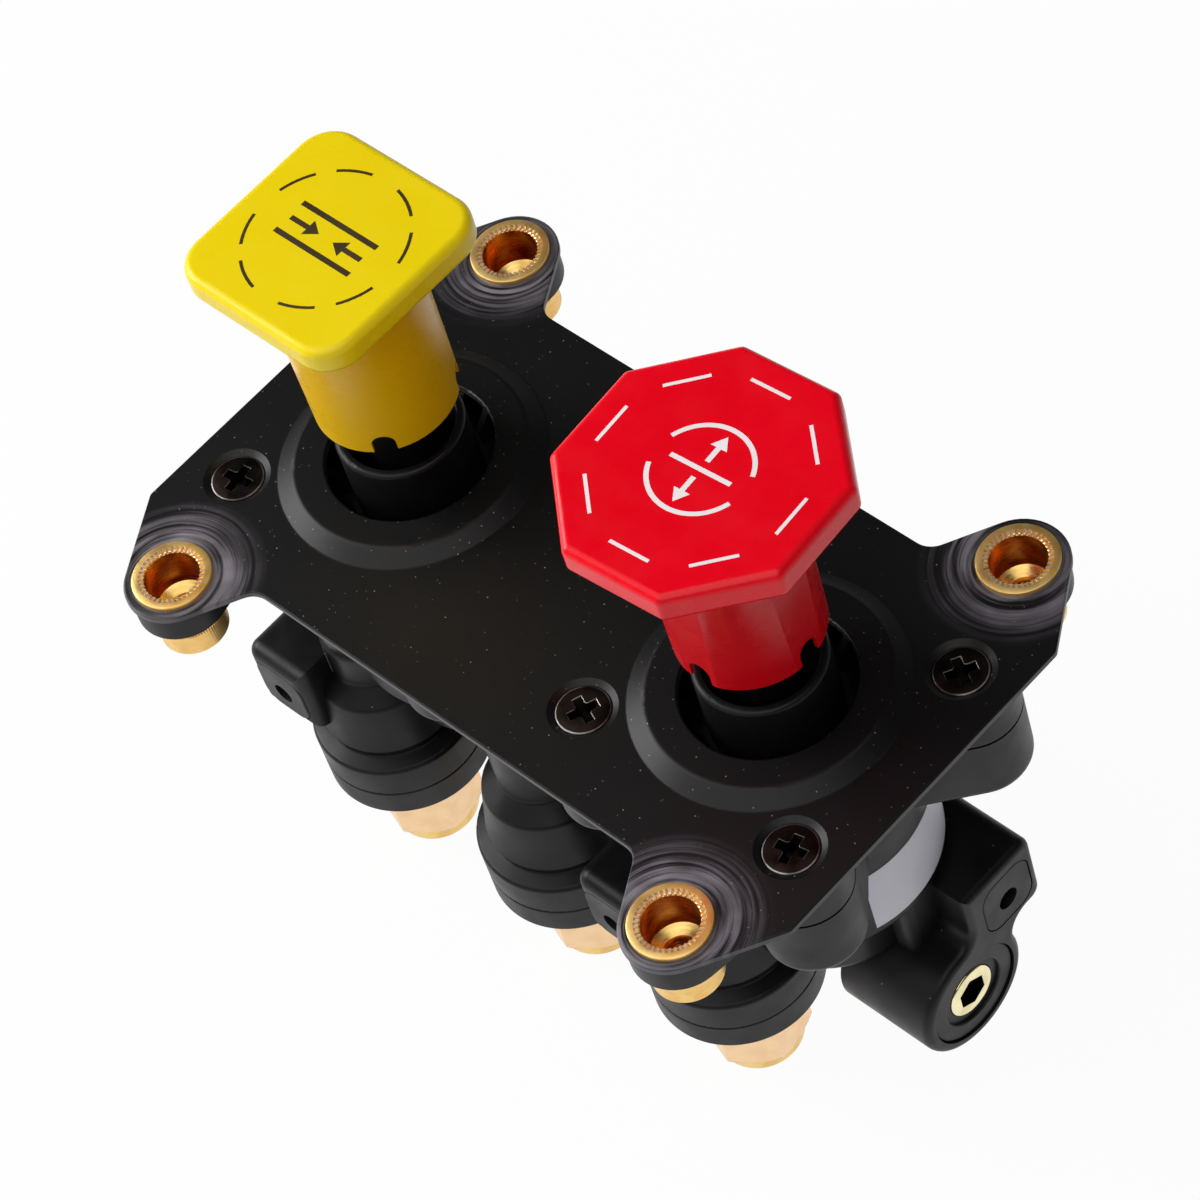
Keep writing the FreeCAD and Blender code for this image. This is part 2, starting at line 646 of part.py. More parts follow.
def vent_pocket():
    pocket = vent_cap_solid(SET_IN_GAP, 0.0, VENT_T)
    chamber = cyl(VENT_CHAMBER_R, -VENT_T - VENT_CHAMBER_DEPTH, -VENT_T, 0.0, -VENT_HOLE_DROP)
    return pocket.fuse(chamber)


def bore_tools():
    """Everything cut out of the lower housing."""
    tools = []
    for x, y in KNOB_AXES.values():
        tools.append(cyl(RETAINER_BORE_R, RETAINER_BOTTOM_Z, LOWER_TOP_Z, x, y))
        tools.append(cyl(PISTON_BORE_R, PISTON_BORE_END_Z, LOWER_TOP_Z, x, y))
        tools.append(cyl(VALVE_BORE_R, VALVE_FLOOR_Z, PISTON_BORE_END_Z, x, y))
        tools.append(cyl(EXHAUST_R, CHAMBER_BOTTOM_Z, VALVE_FLOOR_Z, x, y))
    for x, y in SCREWS:
        tools.append(cyl(SCREW_R + SLIDE_GAP, SCREW_HOLE_END_Z, LOWER_TOP_Z, x, y))
    for x, y in PORTS:
        tools.append(cyl(PORT_POCKET_R, PORT_PARTING_Z, PORT_POCKET_TOP_Z, x, y))
        tools.append(cyl(FITTING_NOSE_R + SLIDE_GAP, PORT_PARTING_Z, FITTING_NOSE_TOP_Z, x, y))
    for index, side in ((0, "parking"), (2, "trailer"), (3, "parking")):
        x, y = PORTS[index]
        axis = KNOB_AXES[side]
        reach = PASSAGE_REACH * VALVE_BORE_R / math.hypot(x - axis[0], y - axis[1])
        inlet = (axis[0] + (x - axis[0]) * reach, axis[1] + (y - axis[1]) * reach, DELIVERY_Z)
        tools.append(drill(PASSAGE_R, (x, y, PASSAGE_START_Z), inlet))
    for index, side in ((1, -1), (4, 1)):
        x, y = PORTS[index]
        tools.append(drill(PASSAGE_R, (x, y, PASSAGE_START_Z), (x, side * SUPPLY_Y, SUPPLY_Z)))
        tools.append(cyl_x(PASSAGE_R, -KNOB_X, KNOB_X, side * SUPPLY_Y, SUPPLY_Z))
    for name in LUG_PORTS:
        tools.append(face_front(vent_pocket(), lug_centre_x(name), VENT_CENTRE_Z))
    tools.append(face_right(vent_pocket(), BLOCK_VENT_Y, VENT_CENTRE_Z))
    tools.append(cyl_x(CHECK_BORE_R, CHECK_BORE_X0, CHECK_BORE_X1, CHECK_Y, CHECK_Z))
    tools.append(cyl_x(CHECK_CAP_R + SLIDE_GAP, CHECK_CAP_X0, END_X, CHECK_Y, CHECK_Z))
    tools.append(cyl_x(CHECK_BORE_R, CHECK_BORE_X0, CHECK_CAP_X0, CHECK_Y, CHECK_Z))
    tools.append(cyl_x(CHECK_SEAT_HOLE_R, CHECK_INLET_X - CHECK_INLET_R, CHECK_BORE_X0, CHECK_Y, CHECK_Z))
    for x in (CHECK_INLET_X, CHECK_OUTLET_X):
        tools.append(cyl(CHECK_INLET_R, CHECK_Z, CHECK_DRILL_TOP_Z, x, CHECK_Y))
        tools.append(drill(CHECK_INLET_R, (x, CHECK_Y, CHECK_DRILL_TOP_Z),
                           (KNOB_X + VALVE_BORE_R - 2 * OVERLAP, 0.0, DELIVERY_Z)))
    return tools


def lower_housing():
    solids = lower_flange_and_cylinders()
    for (x, y), top in zip(PORTS, PORT_TOPS_Z):
        solids.append(port_boss(x, y, top))
    for index in LUG_PORTS.values():
        solids.append(lug(PORTS[index]))
    solids.append(end_block())
    body = cut(fuse(solids), bore_tools())
    foot = VALVE_FLOOR_Z - OVERLAP
    seat = [(VALVE_SEAT_INNER_R, VALVE_SEAT_TOP_Z, SMALL), (VALVE_SEAT_INNER_R, foot),
            (VALVE_SEAT_OUTER_R, foot), (VALVE_SEAT_OUTER_R, VALVE_SEAT_TOP_Z, SMALL)]
    return fuse([body] + [turned(seat, x, y) for x, y in KNOB_AXES.values()])


def port_cap(x, y):
    bore = FITTING_BARREL_R + SLIDE_GAP
    return turned([(bore, PORT_PARTING_Z), (bore, PORT_END_Z), (PORT_R, PORT_END_Z, PORT_END_ROUND),
                   (PORT_R, PORT_PARTING_Z, PORT_EDGE)], x, y)


def port_fitting(x, y):
    hexagon = prism(regular(6, FITTING_AF, FITTING_CORNER_AZ, x, y), FITTING_HEX_END_Z, PORT_END_Z)
    reach = FITTING_AF / 2 / math.cos(math.pi / 6) + OVERLAP
    chamfer = turned([(0.0, PORT_END_Z), (reach, PORT_END_Z),
                      (reach, FITTING_HEX_END_Z + reach - FITTING_HEX_CHAMFER_R),
                      (FITTING_HEX_CHAMFER_R, FITTING_HEX_END_Z), (0.0, FITTING_HEX_END_Z)], x, y)
    barrel = turned([
        (0.0, FITTING_NOSE_TOP_Z), (FITTING_NOSE_R, FITTING_NOSE_TOP_Z, SOFT),
        (FITTING_NOSE_R, FITTING_COLLAR_TOP_Z), (FITTING_COLLAR_R, FITTING_COLLAR_TOP_Z, CRISP),
        (FITTING_COLLAR_R, PORT_PARTING_Z), (FITTING_BARREL_R, PORT_PARTING_Z),
        (FITTING_BARREL_R, FITTING_HEX_END_Z), (FITTING_LIP_R, FITTING_HEX_END_Z),
        (FITTING_LIP_R, FITTING_END_Z, FITTING_LIP_ROUND), (0.0, FITTING_END_Z)], x, y)
    solid = fuse([hexagon.common(chamfer), barrel])
    return cut(solid, [
        cyl(FITTING_PASSAGE_R, FITTING_END_Z, FITTING_NOSE_TOP_Z, x, y),
        turned([(0.0, FITTING_END_Z), (FITTING_BORE_R + FITTING_BORE_CHAMFER, FITTING_END_Z),
                (FITTING_BORE_R, FITTING_END_Z + FITTING_BORE_CHAMFER), (FITTING_BORE_R, FITTING_BORE_END_Z),
                (0.0, FITTING_BORE_END_Z)], x, y)])


def vent_cap():
    return vent_cap_solid(0.0, VENT_HOLE_R, VENT_T)


def turned_x(points):
    """Solid of revolution about the check valve's axis from (radius, x) points."""
    solid = turned(points)
    solid.rotate(V(0, 0, 0), V(0, 1, 0), 90)
    solid.translate(V(0, CHECK_Y, CHECK_Z))
    return solid


def check_valve_cap():
    nose_r = CHECK_BORE_R - SLIDE_GAP
    hole_r = CHECK_PLUG_R + SLIDE_GAP
    return turned_x([
        (hole_r, CHECK_BORE_X1), (nose_r, CHECK_BORE_X1, SMALL), (nose_r, CHECK_CAP_X0),
        (CHECK_CAP_R, CHECK_CAP_X0), (CHECK_CAP_R, CHECK_CAP_X1, SOFT),
        (CHECK_CAP_RECESS_R, CHECK_CAP_X1, SMALL), (CHECK_CAP_RECESS_R, CHECK_CAP_X1 - CHECK_CAP_RECESS),
        (hole_r, CHECK_CAP_X1 - CHECK_CAP_RECESS)])


def check_valve_plug():
    body = turned_x([(0.0, CHECK_PLUG_X0), (CHECK_PLUG_R, CHECK_PLUG_X0, SMALL),
                     (CHECK_PLUG_R, CHECK_PLUG_X1, SOFT), (0.0, CHECK_PLUG_X1)])
    socket = prism(regular(6, CHECK_SOCKET_AF, 0.0), CHECK_PLUG_X1 - CHECK_SOCKET_DEPTH, CHECK_PLUG_X1)
    socket.rotate(V(0, 0, 0), V(0, 1, 0), 90)
    socket.translate(V(0, CHECK_Y, CHECK_Z))
    return cut(body, [socket])


def check_valve_shuttle():
    r = CHECK_BORE_R - SLIDE_GAP - SEAL_GAP
    x0 = CHECK_BORE_X0 + CHECK_SEAT_T + CHECK_END_GAP + CHECK_TRAVEL
    x1 = x0 + SHUTTLE_L
    return turned_x([(0.0, x0), (r, x0, SMALL), (r, x0 + SHUTTLE_RIM_L, CRISP),
                     (SHUTTLE_WAIST_R, x0 + SHUTTLE_RIM_L), (SHUTTLE_WAIST_R, x1 - SHUTTLE_RIM_L),
                     (r, x1 - SHUTTLE_RIM_L, CRISP), (r, x1, SMALL), (0.0, x1)])


def check_valve_seat():
    r = CHECK_BORE_R - SEAL_GAP
    x1 = CHECK_BORE_X0 + CHECK_SEAT_T
    return turned_x([(CHECK_SEAT_HOLE_R, CHECK_BORE_X0), (r, CHECK_BORE_X0), (r, x1),
                     (CHECK_SEAT_HOLE_R, x1, SOFT)])


def label_band():
    x, y = KNOB_AXES["trailer"]
    band = turned([(MAIN_R, LABEL_BOTTOM_Z), (MAIN_R + LABEL_T, LABEL_BOTTOM_Z),
                   (MAIN_R + LABEL_T, LABEL_TOP_Z), (MAIN_R, LABEL_TOP_Z)], 0.0, 0.0, LABEL_SPAN)
    band.rotate(V(0, 0, 0), V(0, 0, 1), LABEL_START_AZ)
    band.translate(V(x, y, 0))
    return band


def knob(side):
    """Hollow neck with four notches, a screwed boss on ribs, and the head. The red one has flats."""
    if side == "parking":
        outline = regular(4, SQUARE_W, 45.0, 0.0, 0.0, SQUARE_ROUND)
        z0, z1 = SQUARE_Z0, SQUARE_Z1
    else:
        outline = regular(8, OCTAGON_AF, OCTAGON_AZ + 22.5, 0.0, 0.0, OCTAGON_ROUND)
        z0, z1 = OCTAGON_Z0, OCTAGON_Z1
    head = prism(outline, z0, z1)
    head = fillet_where(head, HEAD_ROUND, lambda c, b: flat_at(b, z0) or flat_at(b, z1))
    neck = turned([(0.0, z0 + OVERLAP), (0.0, NECK_BOTTOM_Z), (NECK_BOTTOM_R, NECK_BOTTOM_Z, SMALL),
                   (NECK_TOP_R, z0), (NECK_TOP_R, z0 + OVERLAP)])
    cavity = turned([(BOSS_R, NECK_CAVITY_TOP_Z, SOFT), (BOSS_R, NECK_BOTTOM_Z),
                     (NECK_INNER_R, NECK_BOTTOM_Z), (NECK_INNER_R, NECK_CAVITY_TOP_Z, SOFT)])
    ribs = []
    for i in range(4):
        rib = box(BOSS_R - OVERLAP, NECK_INNER_R + OVERLAP, -KNOB_RIB_W / 2, KNOB_RIB_W / 2,
                  KNOB_RIB_Z, NECK_CAVITY_TOP_Z + OVERLAP)
        rib.rotate(V(0, 0, 0), V(0, 0, 1), NOTCH_AZ[side] + 45.0 + 90.0 * i)
        ribs.append(rib)
    tools = [cyl(STUD_R + SLIDE_GAP, STEM_SHOULDER_Z, BOSS_HOLE_TOP_Z),
             cyl(NECK_INNER_R, NECK_BOTTOM_Z, STEM_SHOULDER_Z)]
    outside = NECK_TOP_R + OVERLAP
    for i in range(4):
        notch = fuse([box(0.0, outside, -NOTCH_W / 2, NOTCH_W / 2, NECK_BOTTOM_Z - OVERLAP,
                          NECK_BOTTOM_Z + NOTCH_H - NOTCH_W / 2),
                      cyl_x(NOTCH_W / 2, 0.0, outside, 0.0, NECK_BOTTOM_Z + NOTCH_H - NOTCH_W / 2)])
        notch.rotate(V(0, 0, 0), V(0, 0, 1), NOTCH_AZ[side] + 90.0 * i)
        tools.append(notch)
        if side == "trailer":
            flat = box(NECK_FLAT, outside, -outside, outside, NECK_BOTTOM_Z - OVERLAP, z0)
            flat.rotate(V(0, 0, 0), V(0, 0, 1), NOTCH_AZ[side] + 90.0 * i)
            tools.append(flat)
    solid = fuse([head, neck]).cut(cavity)
    solid = cut(fuse([solid] + ribs), tools)
    solid.translate(V(*KNOB_AXES[side], 0))
    return solid


def plunger(x, y):
    groove_z = (PISTON_TOP_Z + PISTON_BOTTOM_Z) / 2
    groove_r = PISTON_SEAL_MEAN_R - PISTON_SEAL_WIRE_R - SEAL_GAP
    body = turned([
        (0.0, STUD_TOP_Z), (STUD_R, STUD_TOP_Z, SOFT), (STUD_R, STEM_SHOULDER_Z),
        (STEM_R, STEM_SHOULDER_Z, SMALL), (STEM_R, PISTON_TOP_Z), (PISTON_R, PISTON_TOP_Z, SMALL),
        (PISTON_R, groove_z + PISTON_GROOVE_HALF), (groove_r, groove_z + PISTON_GROOVE_HALF),
        (groove_r, groove_z - PISTON_GROOVE_HALF), (PISTON_R, groove_z - PISTON_GROOVE_HALF),
        (PISTON_R, PISTON_BOTTOM_Z, SMALL), (SHANK_R, PISTON_BOTTOM_Z), (SHANK_R, CARRIER_TOP_Z),
        (CARRIER_R, CARRIER_TOP_Z, SMALL), (CARRIER_R, CARRIER_BOTTOM_Z), (0.0, CARRIER_BOTTOM_Z)], x, y)
    return cut(body, [cyl(DISC_SCREW_R + SLIDE_GAP, CARRIER_BOTTOM_Z, DISC_SCREW_TOP_Z + OVERLAP, x, y)])


def disc_screw(x, y):
    return turned([
        (0.0, DISC_SCREW_TOP_Z), (DISC_SCREW_R, DISC_SCREW_TOP_Z, SMALL), (DISC_SCREW_R, DISC_BOTTOM_Z),
        (DISC_SCREW_HEAD_R, DISC_BOTTOM_Z), (DISC_SCREW_HEAD_R, DISC_SCREW_HEAD_Z, SOFT),
        (0.0, DISC_SCREW_HEAD_Z)], x, y)


def washer(inner, outer, z0, z1, x, y):
    return turned([(inner, z0), (outer, z0), (outer, z1), (inner, z1)], x, y)


def valve_disc(x, y):
    hole = DISC_SCREW_R + 2 * SLIDE_GAP
    return turned([(hole, CARRIER_BOTTOM_Z), (DISC_R, CARRIER_BOTTOM_Z, DISC_ROUND),
                   (DISC_R, DISC_BOTTOM_Z, DISC_ROUND), (hole, DISC_BOTTOM_Z)], x, y)


def return_spring(x, y):
    """Coil of flat facets, which keeps a spring's mesh small: rings of points joined by triangles."""
    top = SPRING_SEAT_TOP_Z - SPRING_SEAT_T - SPRING_WIRE_R
    bottom = PISTON_BORE_END_Z + SPRING_WIRE_R
    steps = SPRING_TURNS * SPRING_STEPS_PER_TURN
    rings = []
    for i in range(steps + 1):
        az = 2 * math.pi * i / SPRING_STEPS_PER_TURN
        height = bottom + (top - bottom) * i / steps
        points = []
        for k in range(SPRING_SIDES):
            turn = 2 * math.pi * k / SPRING_SIDES
            r = SPRING_MEAN_R + SPRING_WIRE_R * math.cos(turn)
            points.append(V(x + r * math.cos(az), y + r * math.sin(az), height + SPRING_WIRE_R * math.sin(turn)))
        rings.append(points)
    faces = [Part.Face(Part.makePolygon(end + end[:1])) for end in (rings[0], rings[-1])]
    for low, high in zip(rings, rings[1:]):
        for k in range(SPRING_SIDES):
            following = (k + 1) % SPRING_SIDES
            corners = (low[k], low[following], high[following], high[k])
            for triangle in (corners[:3], (corners[0], corners[2], corners[3])):
                faces.append(Part.Face(Part.makePolygon(list(triangle) + [triangle[0]])))
    return Part.makeSolid(Part.makeShell(faces))


save("cover_plate", cover_plate())
save("cover_screws", cover_screws())
for place, (sx, sy) in INSERTS.items():
    save("insert_" + place, insert(sx * MOUNT_X, sy * MOUNT_Y))
save("upper_housing", upper_housing())
save("housing_gasket", housing_gasket())
save("lower_housing", lower_housing())
for number, (px, py) in enumerate(PORTS, 1):
    save("port_cap_%d" % number, port_cap(px, py))
    save("port_fitting_%d" % number, port_fitting(px, py))
    seal_z = FITTING_COLLAR_TOP_Z + PORT_SEAL_WIRE_R + SLIDE_GAP
    save("port_seal_%d" % number, ring(PORT_SEAL_WIRE_R, PORT_SEAL_MEAN_R, seal_z, px, py))
for name in LUG_PORTS:
    save("vent_cap_" + name, face_front(vent_cap(), lug_centre_x(name), VENT_CENTRE_Z))
save("vent_cap_right", face_right(vent_cap(), BLOCK_VENT_Y, VENT_CENTRE_Z))
save("check_valve_cap", check_valve_cap())
save("check_valve_plug", check_valve_plug())
save("check_valve_shuttle", check_valve_shuttle())
save("check_valve_seat", check_valve_seat())
save("label_band", label_band())
for side, (ax, ay) in KNOB_AXES.items():
    save(side + "_knob", knob(side))
    save(side + "_plunger", plunger(ax, ay))
    pocket_mid_z = (PARTING_Z + STEM_POCKET_TOP_Z) / 2
    save(side + "_stem_seal", ring(STEM_SEAL_WIRE_R, STEM_SEAL_MEAN_R, pocket_mid_z, ax, ay))
    save(side + "_seal_retainer", washer(RETAINER_INNER_R, RETAINER_OUTER_R, RETAINER_BOTTOM_Z, PARTING_Z,
                                         ax, ay))
    piston_mid_z = (PISTON_TOP_Z + PISTON_BOTTOM_Z) / 2
    save(side + "_piston_seal", ring(PISTON_SEAL_WIRE_R, PISTON_SEAL_MEAN_R, piston_mid_z, ax, ay))
    save(side + "_spring_seat", washer(SPRING_SEAT_INNER_R, SPRING_SEAT_OUTER_R,
                                       SPRING_SEAT_TOP_Z - SPRING_SEAT_T, SPRING_SEAT_TOP_Z, ax, ay))
    save(side + "_return_spring", return_spring(ax, ay))
    save(side + "_valve_disc", valve_disc(ax, ay))
    save(side + "_disc_screw", disc_screw(ax, ay))
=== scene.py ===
# %% [markdown]
# # A dash control valve for a truck's air brakes
#
# The valve sits behind a dashboard: a stamped steel plate carries it, two push-pull knobs stand in
# front, and a moulded housing with brass air ports hangs behind. The solids come from a CAD model.
# This lesson lights them, gives every piece its finish, and rebuilds in Blender the small pieces
# whose detail a CAD model leaves out: cross recesses, serrations, knurls, threads and print.

# %% Load the frame and measure it
import math

import bmesh
import bpy
from mathutils import Matrix, Vector


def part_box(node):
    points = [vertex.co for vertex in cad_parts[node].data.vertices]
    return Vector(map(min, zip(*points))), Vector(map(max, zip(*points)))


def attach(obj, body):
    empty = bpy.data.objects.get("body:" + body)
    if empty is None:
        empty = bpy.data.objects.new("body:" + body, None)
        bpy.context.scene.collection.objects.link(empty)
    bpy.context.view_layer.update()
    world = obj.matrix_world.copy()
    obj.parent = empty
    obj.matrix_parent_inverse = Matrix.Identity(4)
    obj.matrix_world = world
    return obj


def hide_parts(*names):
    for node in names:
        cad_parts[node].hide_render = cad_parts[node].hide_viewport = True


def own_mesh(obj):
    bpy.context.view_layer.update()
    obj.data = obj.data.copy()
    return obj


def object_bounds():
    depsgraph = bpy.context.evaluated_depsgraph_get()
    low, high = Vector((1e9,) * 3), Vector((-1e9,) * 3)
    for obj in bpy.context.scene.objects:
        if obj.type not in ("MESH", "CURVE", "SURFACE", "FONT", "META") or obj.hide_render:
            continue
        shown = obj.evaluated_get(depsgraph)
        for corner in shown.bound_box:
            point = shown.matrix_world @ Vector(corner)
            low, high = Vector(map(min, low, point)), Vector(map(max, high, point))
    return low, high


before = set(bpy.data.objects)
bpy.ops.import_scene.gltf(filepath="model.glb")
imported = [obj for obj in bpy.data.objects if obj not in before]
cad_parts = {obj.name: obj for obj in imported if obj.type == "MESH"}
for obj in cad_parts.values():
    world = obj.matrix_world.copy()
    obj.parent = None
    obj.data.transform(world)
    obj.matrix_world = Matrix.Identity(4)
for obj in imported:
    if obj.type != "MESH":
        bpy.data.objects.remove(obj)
cad_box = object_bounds()
MM = 0.001
print("nodes:", len(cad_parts), "size in mm:", [round(s / MM, 1) for s in cad_box[1] - cad_box[0]])

# %% [markdown]
# ## The camera
#
# A camera can be placed by three facts: where it stands, where it looks, and which way is up for
# it. The photograph was taken with a long lens from above the right front corner, and the valve
# leans in it, so the camera's own up direction is tilted instead of the valve. A long lens keeps
# the near and far ends of the plate almost the same size.

# %% Stand the camera
CAMERA_PLACE = Vector((0.40422, -0.24190, 0.59651))
CAMERA_LOOK = Vector((-0.5267, 0.3159, -0.7892))
CAMERA_UP = Vector((-0.4638, 0.6712, 0.5782))
CAMERA_LENS = 141.1
SENSOR_WIDTH = 36.0

camera = bpy.data.objects.new("camera", bpy.data.cameras.new("camera"))
bpy.context.scene.collection.objects.link(camera)
camera.data.lens = CAMERA_LENS
camera.data.sensor_width = SENSOR_WIDTH
side = CAMERA_LOOK.cross(CAMERA_UP).normalized()
top = side.cross(CAMERA_LOOK).normalized()
turn = Matrix((side, top, -CAMERA_LOOK.normalized())).transposed()
camera.matrix_world = Matrix.Translation(CAMERA_PLACE) @ turn.to_4x4()
bpy.context.scene.camera = camera
bpy.context.scene.view_settings.view_transform = "Standard"
print("camera to object, in metres:", round(CAMERA_PLACE.length, 3))

# %% [markdown]
# ## A helper for nodes
#
# A material in Blender is a small graph of nodes. Adding nodes by hand in a script takes many
# lines, so one helper adds a node, sets its options, and fills its inputs with plain values or
# with other nodes' outputs. Arithmetic and soft steps between two values come up in every finish,
# so they get short helpers too, and colours are given as they read on a screen.

# %% Helpers that write node graphs
def put(tree, kind, inputs=None, **options):
    """Add one shader node. inputs are values or other nodes' outputs, options its own settings."""
    made = tree.nodes.new("ShaderNode" + kind)
    for key, value in options.items():
        setattr(made, key, value)
    for key, value in (inputs or {}).items():
        if isinstance(value, bpy.types.NodeSocket):
            tree.links.new(value, made.inputs[key])
        else:
            made.inputs[key].default_value = value
    return made


def sums(tree, operation, a, b=0.0):
    """One step of arithmetic between two values."""
    return put(tree, "Math", {0: a, 1: b}, operation=operation).outputs[0]


def fade(tree, value, start, end, low=0.0, high=1.0):
    """Read value between start and end as low to high, with soft ends."""
    made = put(tree, "MapRange", {0: value, 1: start, 2: end, 3: low, 4: high},
               interpolation_type="SMOOTHSTEP")
    return made.outputs[0]


def srgb(red, green, blue):
    """A colour as read off a screen, 0 to 255, in the linear numbers that shaders use."""
    linear = []
    for part in (red, green, blue):
        part /= 255
        linear.append(part / 12.92 if part <= 0.04045 else ((part + 0.055) / 1.055) ** 2.4)
    return (*linear, 1.0)


print("mid grey 119 is", round(srgb(119, 119, 119)[0], 3), "in linear light")

# %% [markdown]
# ## Floor and background
#
# The photograph has a plain white ground. A white floor under plain light would need far too much
# light to reach pure white, and that would wash out the valve. So the floor and the world answer
# the camera's own rays with white, and keep part of the ordinary matt surface, which still takes
# the object's shadow. Mirrors and metal see the same white floor.

# %% Floor
WHITE_SHARE = 0.96
FLOOR_Z = cad_box[0].z
FLOOR_HALF = 3.0


def pale_floor():
    """White to the camera and to mirrors, matt grey to the light that falls on the valve."""
    made = bpy.data.materials.new("pale_floor")
    made.use_nodes = True
    tree = made.node_tree
    tree.nodes.clear()
    matt = put(tree, "BsdfDiffuse", {"Color": (0.8, 0.8, 0.8, 1)})
    white = put(tree, "Emission", {"Color": (1, 1, 1, 1), "Strength": 1.0})
    rays = put(tree, "LightPath")
    seen = sums(tree, "MAXIMUM", rays.outputs["Is Camera Ray"], rays.outputs["Is Glossy Ray"])
    share = sums(tree, "MULTIPLY", seen, WHITE_SHARE)
    mix = put(tree, "MixShader", {0: share, 1: matt.outputs[0], 2: white.outputs[0]})
    put(tree, "OutputMaterial", {"Surface": mix.outputs[0]})
    return made


flat = bmesh.new()
bmesh.ops.create_grid(flat, x_segments=4, y_segments=4, size=FLOOR_HALF)
floor_mesh = bpy.data.meshes.new("floor")
flat.to_mesh(floor_mesh)
flat.free()
floor = bpy.data.objects.new("floor", floor_mesh)
floor.location.z = FLOOR_Z
bpy.context.scene.collection.objects.link(floor)
floor.data.materials.append(pale_floor())
print("floor at", round(FLOOR_Z / MM, 2), "mm")

# %% [markdown]
# ## The sky round the valve
#
# The plate is nearly black but satin: it looks right only if it mirrors something dark. So the
# world is brightest near the horizon, where the housing and the brass pick it up, and almost dark
# overhead, where the plate would mirror it. The camera's own rays see plain white instead.

# %% World
HORIZON_LIGHT = 0.34
ZENITH_LIGHT = 0.05
FADE_FROM = 0.02
FADE_TO = 0.5
world = bpy.data.worlds.new("studio")
bpy.context.scene.world = world
world.use_nodes = True
sky = world.node_tree
sky.nodes.clear()
heading = put(sky, "TexCoord")
parts = put(sky, "SeparateXYZ", {0: heading.outputs["Generated"]})
level = fade(sky, parts.outputs["Z"], FADE_FROM, FADE_TO, HORIZON_LIGHT, ZENITH_LIGHT)
studio = put(sky, "Background", {"Color": (1, 1, 1, 1), "Strength": level})
blank = put(sky, "Background", {"Color": (1, 1, 1, 1), "Strength": 1.0})
ray = put(sky, "LightPath")
both = put(sky, "MixShader", {0: ray.outputs["Is Camera Ray"], 1: studio.outputs[0], 2: blank.outputs[0]})
put(sky, "OutputWorld", {"Surface": both.outputs[0]})
print("sky:", HORIZON_LIGHT, "at the horizon,", ZENITH_LIGHT, "overhead")

# %% [markdown]
# ## Lamps
#
# A lamp's size decides how hard its mirror image looks. The key lamp stands low on the camera's
# left and is small enough to draw a bright patch on the left slopes of the plate's rings. The
# overhead lamp is more than twice as wide, so its light is spread thin and black paint hardly
# shows it. Both face the valve, and only their direction, distance, size and power differ.

# %% Lamps
def soft_lamp(name, azimuth, elevation, distance, width, watts):
    """A square lamp that faces the valve from a compass direction, in degrees."""
    a, e = math.radians(azimuth), math.radians(elevation)
    place = Vector((math.cos(a) * math.cos(e), math.sin(a) * math.cos(e), math.sin(e))) * distance
    lamp = bpy.data.objects.new(name, bpy.data.lights.new(name, "AREA"))
    lamp.data.shape = "SQUARE"
    lamp.data.size = width
    lamp.data.energy = watts
    lamp.location = place
    lamp.rotation_mode = "QUATERNION"
    lamp.rotation_quaternion = (-place).to_track_quat("-Z", "Y")
    bpy.context.scene.collection.objects.link(lamp)
    return lamp


key = soft_lamp("key_lamp", 205.0, 28.0, 0.9, 0.55, 7.0)
overhead = soft_lamp("overhead_lamp", 285.0, 66.0, 1.0, 1.3, 8.0)
print("lamps:", key.name, overhead.name)

# %% [markdown]
# ## Starting a material
#
# Every finish begins in the same way: a new material, its shader with plain values, and the
# object's own coordinates, so that a pattern stays on its piece when the piece moves. Three more
# helpers give soft noise, a mix of two colours, and bumps that tilt the surface without new faces.

# %% Start of any material
def begin(name, color, roughness, metallic=0.0, shine=0.5):
    """A material whose shader has these plain values: gives it, its graph, shader and coordinates."""
    made = bpy.data.materials.new(name)
    made.use_nodes = True
    tree = made.node_tree
    shader = tree.nodes["Principled BSDF"]
    shader.inputs["Base Color"].default_value = color
    shader.inputs["Roughness"].default_value = roughness
    shader.inputs["Metallic"].default_value = metallic
    shader.inputs["Specular IOR Level"].default_value = shine
    place = put(tree, "TexCoord").outputs["Object"]
    return made, tree, shader, place


def noise(tree, place, scale, detail=2.0):
    """Soft random values, scale of them to a metre."""
    made = put(tree, "TexNoise", {"Vector": place, "Scale": scale, "Detail": detail})
    return made.outputs[0]


def blend_color(tree, share, low, high):
    """Mix two colours by a share from 0 to 1."""
    made = put(tree, "Mix", {0: share, 6: low, 7: high}, data_type="RGBA")
    return made.outputs[2]


def raise_bumps(tree, shader, height, depth, strength=1.0):
    """Let a height, 0 to 1, tilt the surface as if it stood depth metres high."""
    bump = put(tree, "Bump", {"Height": height, "Distance": depth, "Strength": strength})
    tree.links.new(bump.outputs[0], shader.inputs["Normal"])


print("material helpers ready")

# %% [markdown]
# ## Painted steel of the plate
#
# The plate is pressed steel under satin black paint. Three things are added that a flat colour
# misses. Washers have scrubbed grey arcs round each brass insert, and fine dust sits on it as pale
# specks. Its cut edges are painted lighter grey: a painted highlight, with some worn paint in it.
# The arcs are noise that is read by distance from the nearest insert, so it changes quickly
# outwards and slowly round; the dust is the middle of scattered cells.

# %% Painted steel
INSERT_X = 0.05715
INSERT_Y = 0.041275


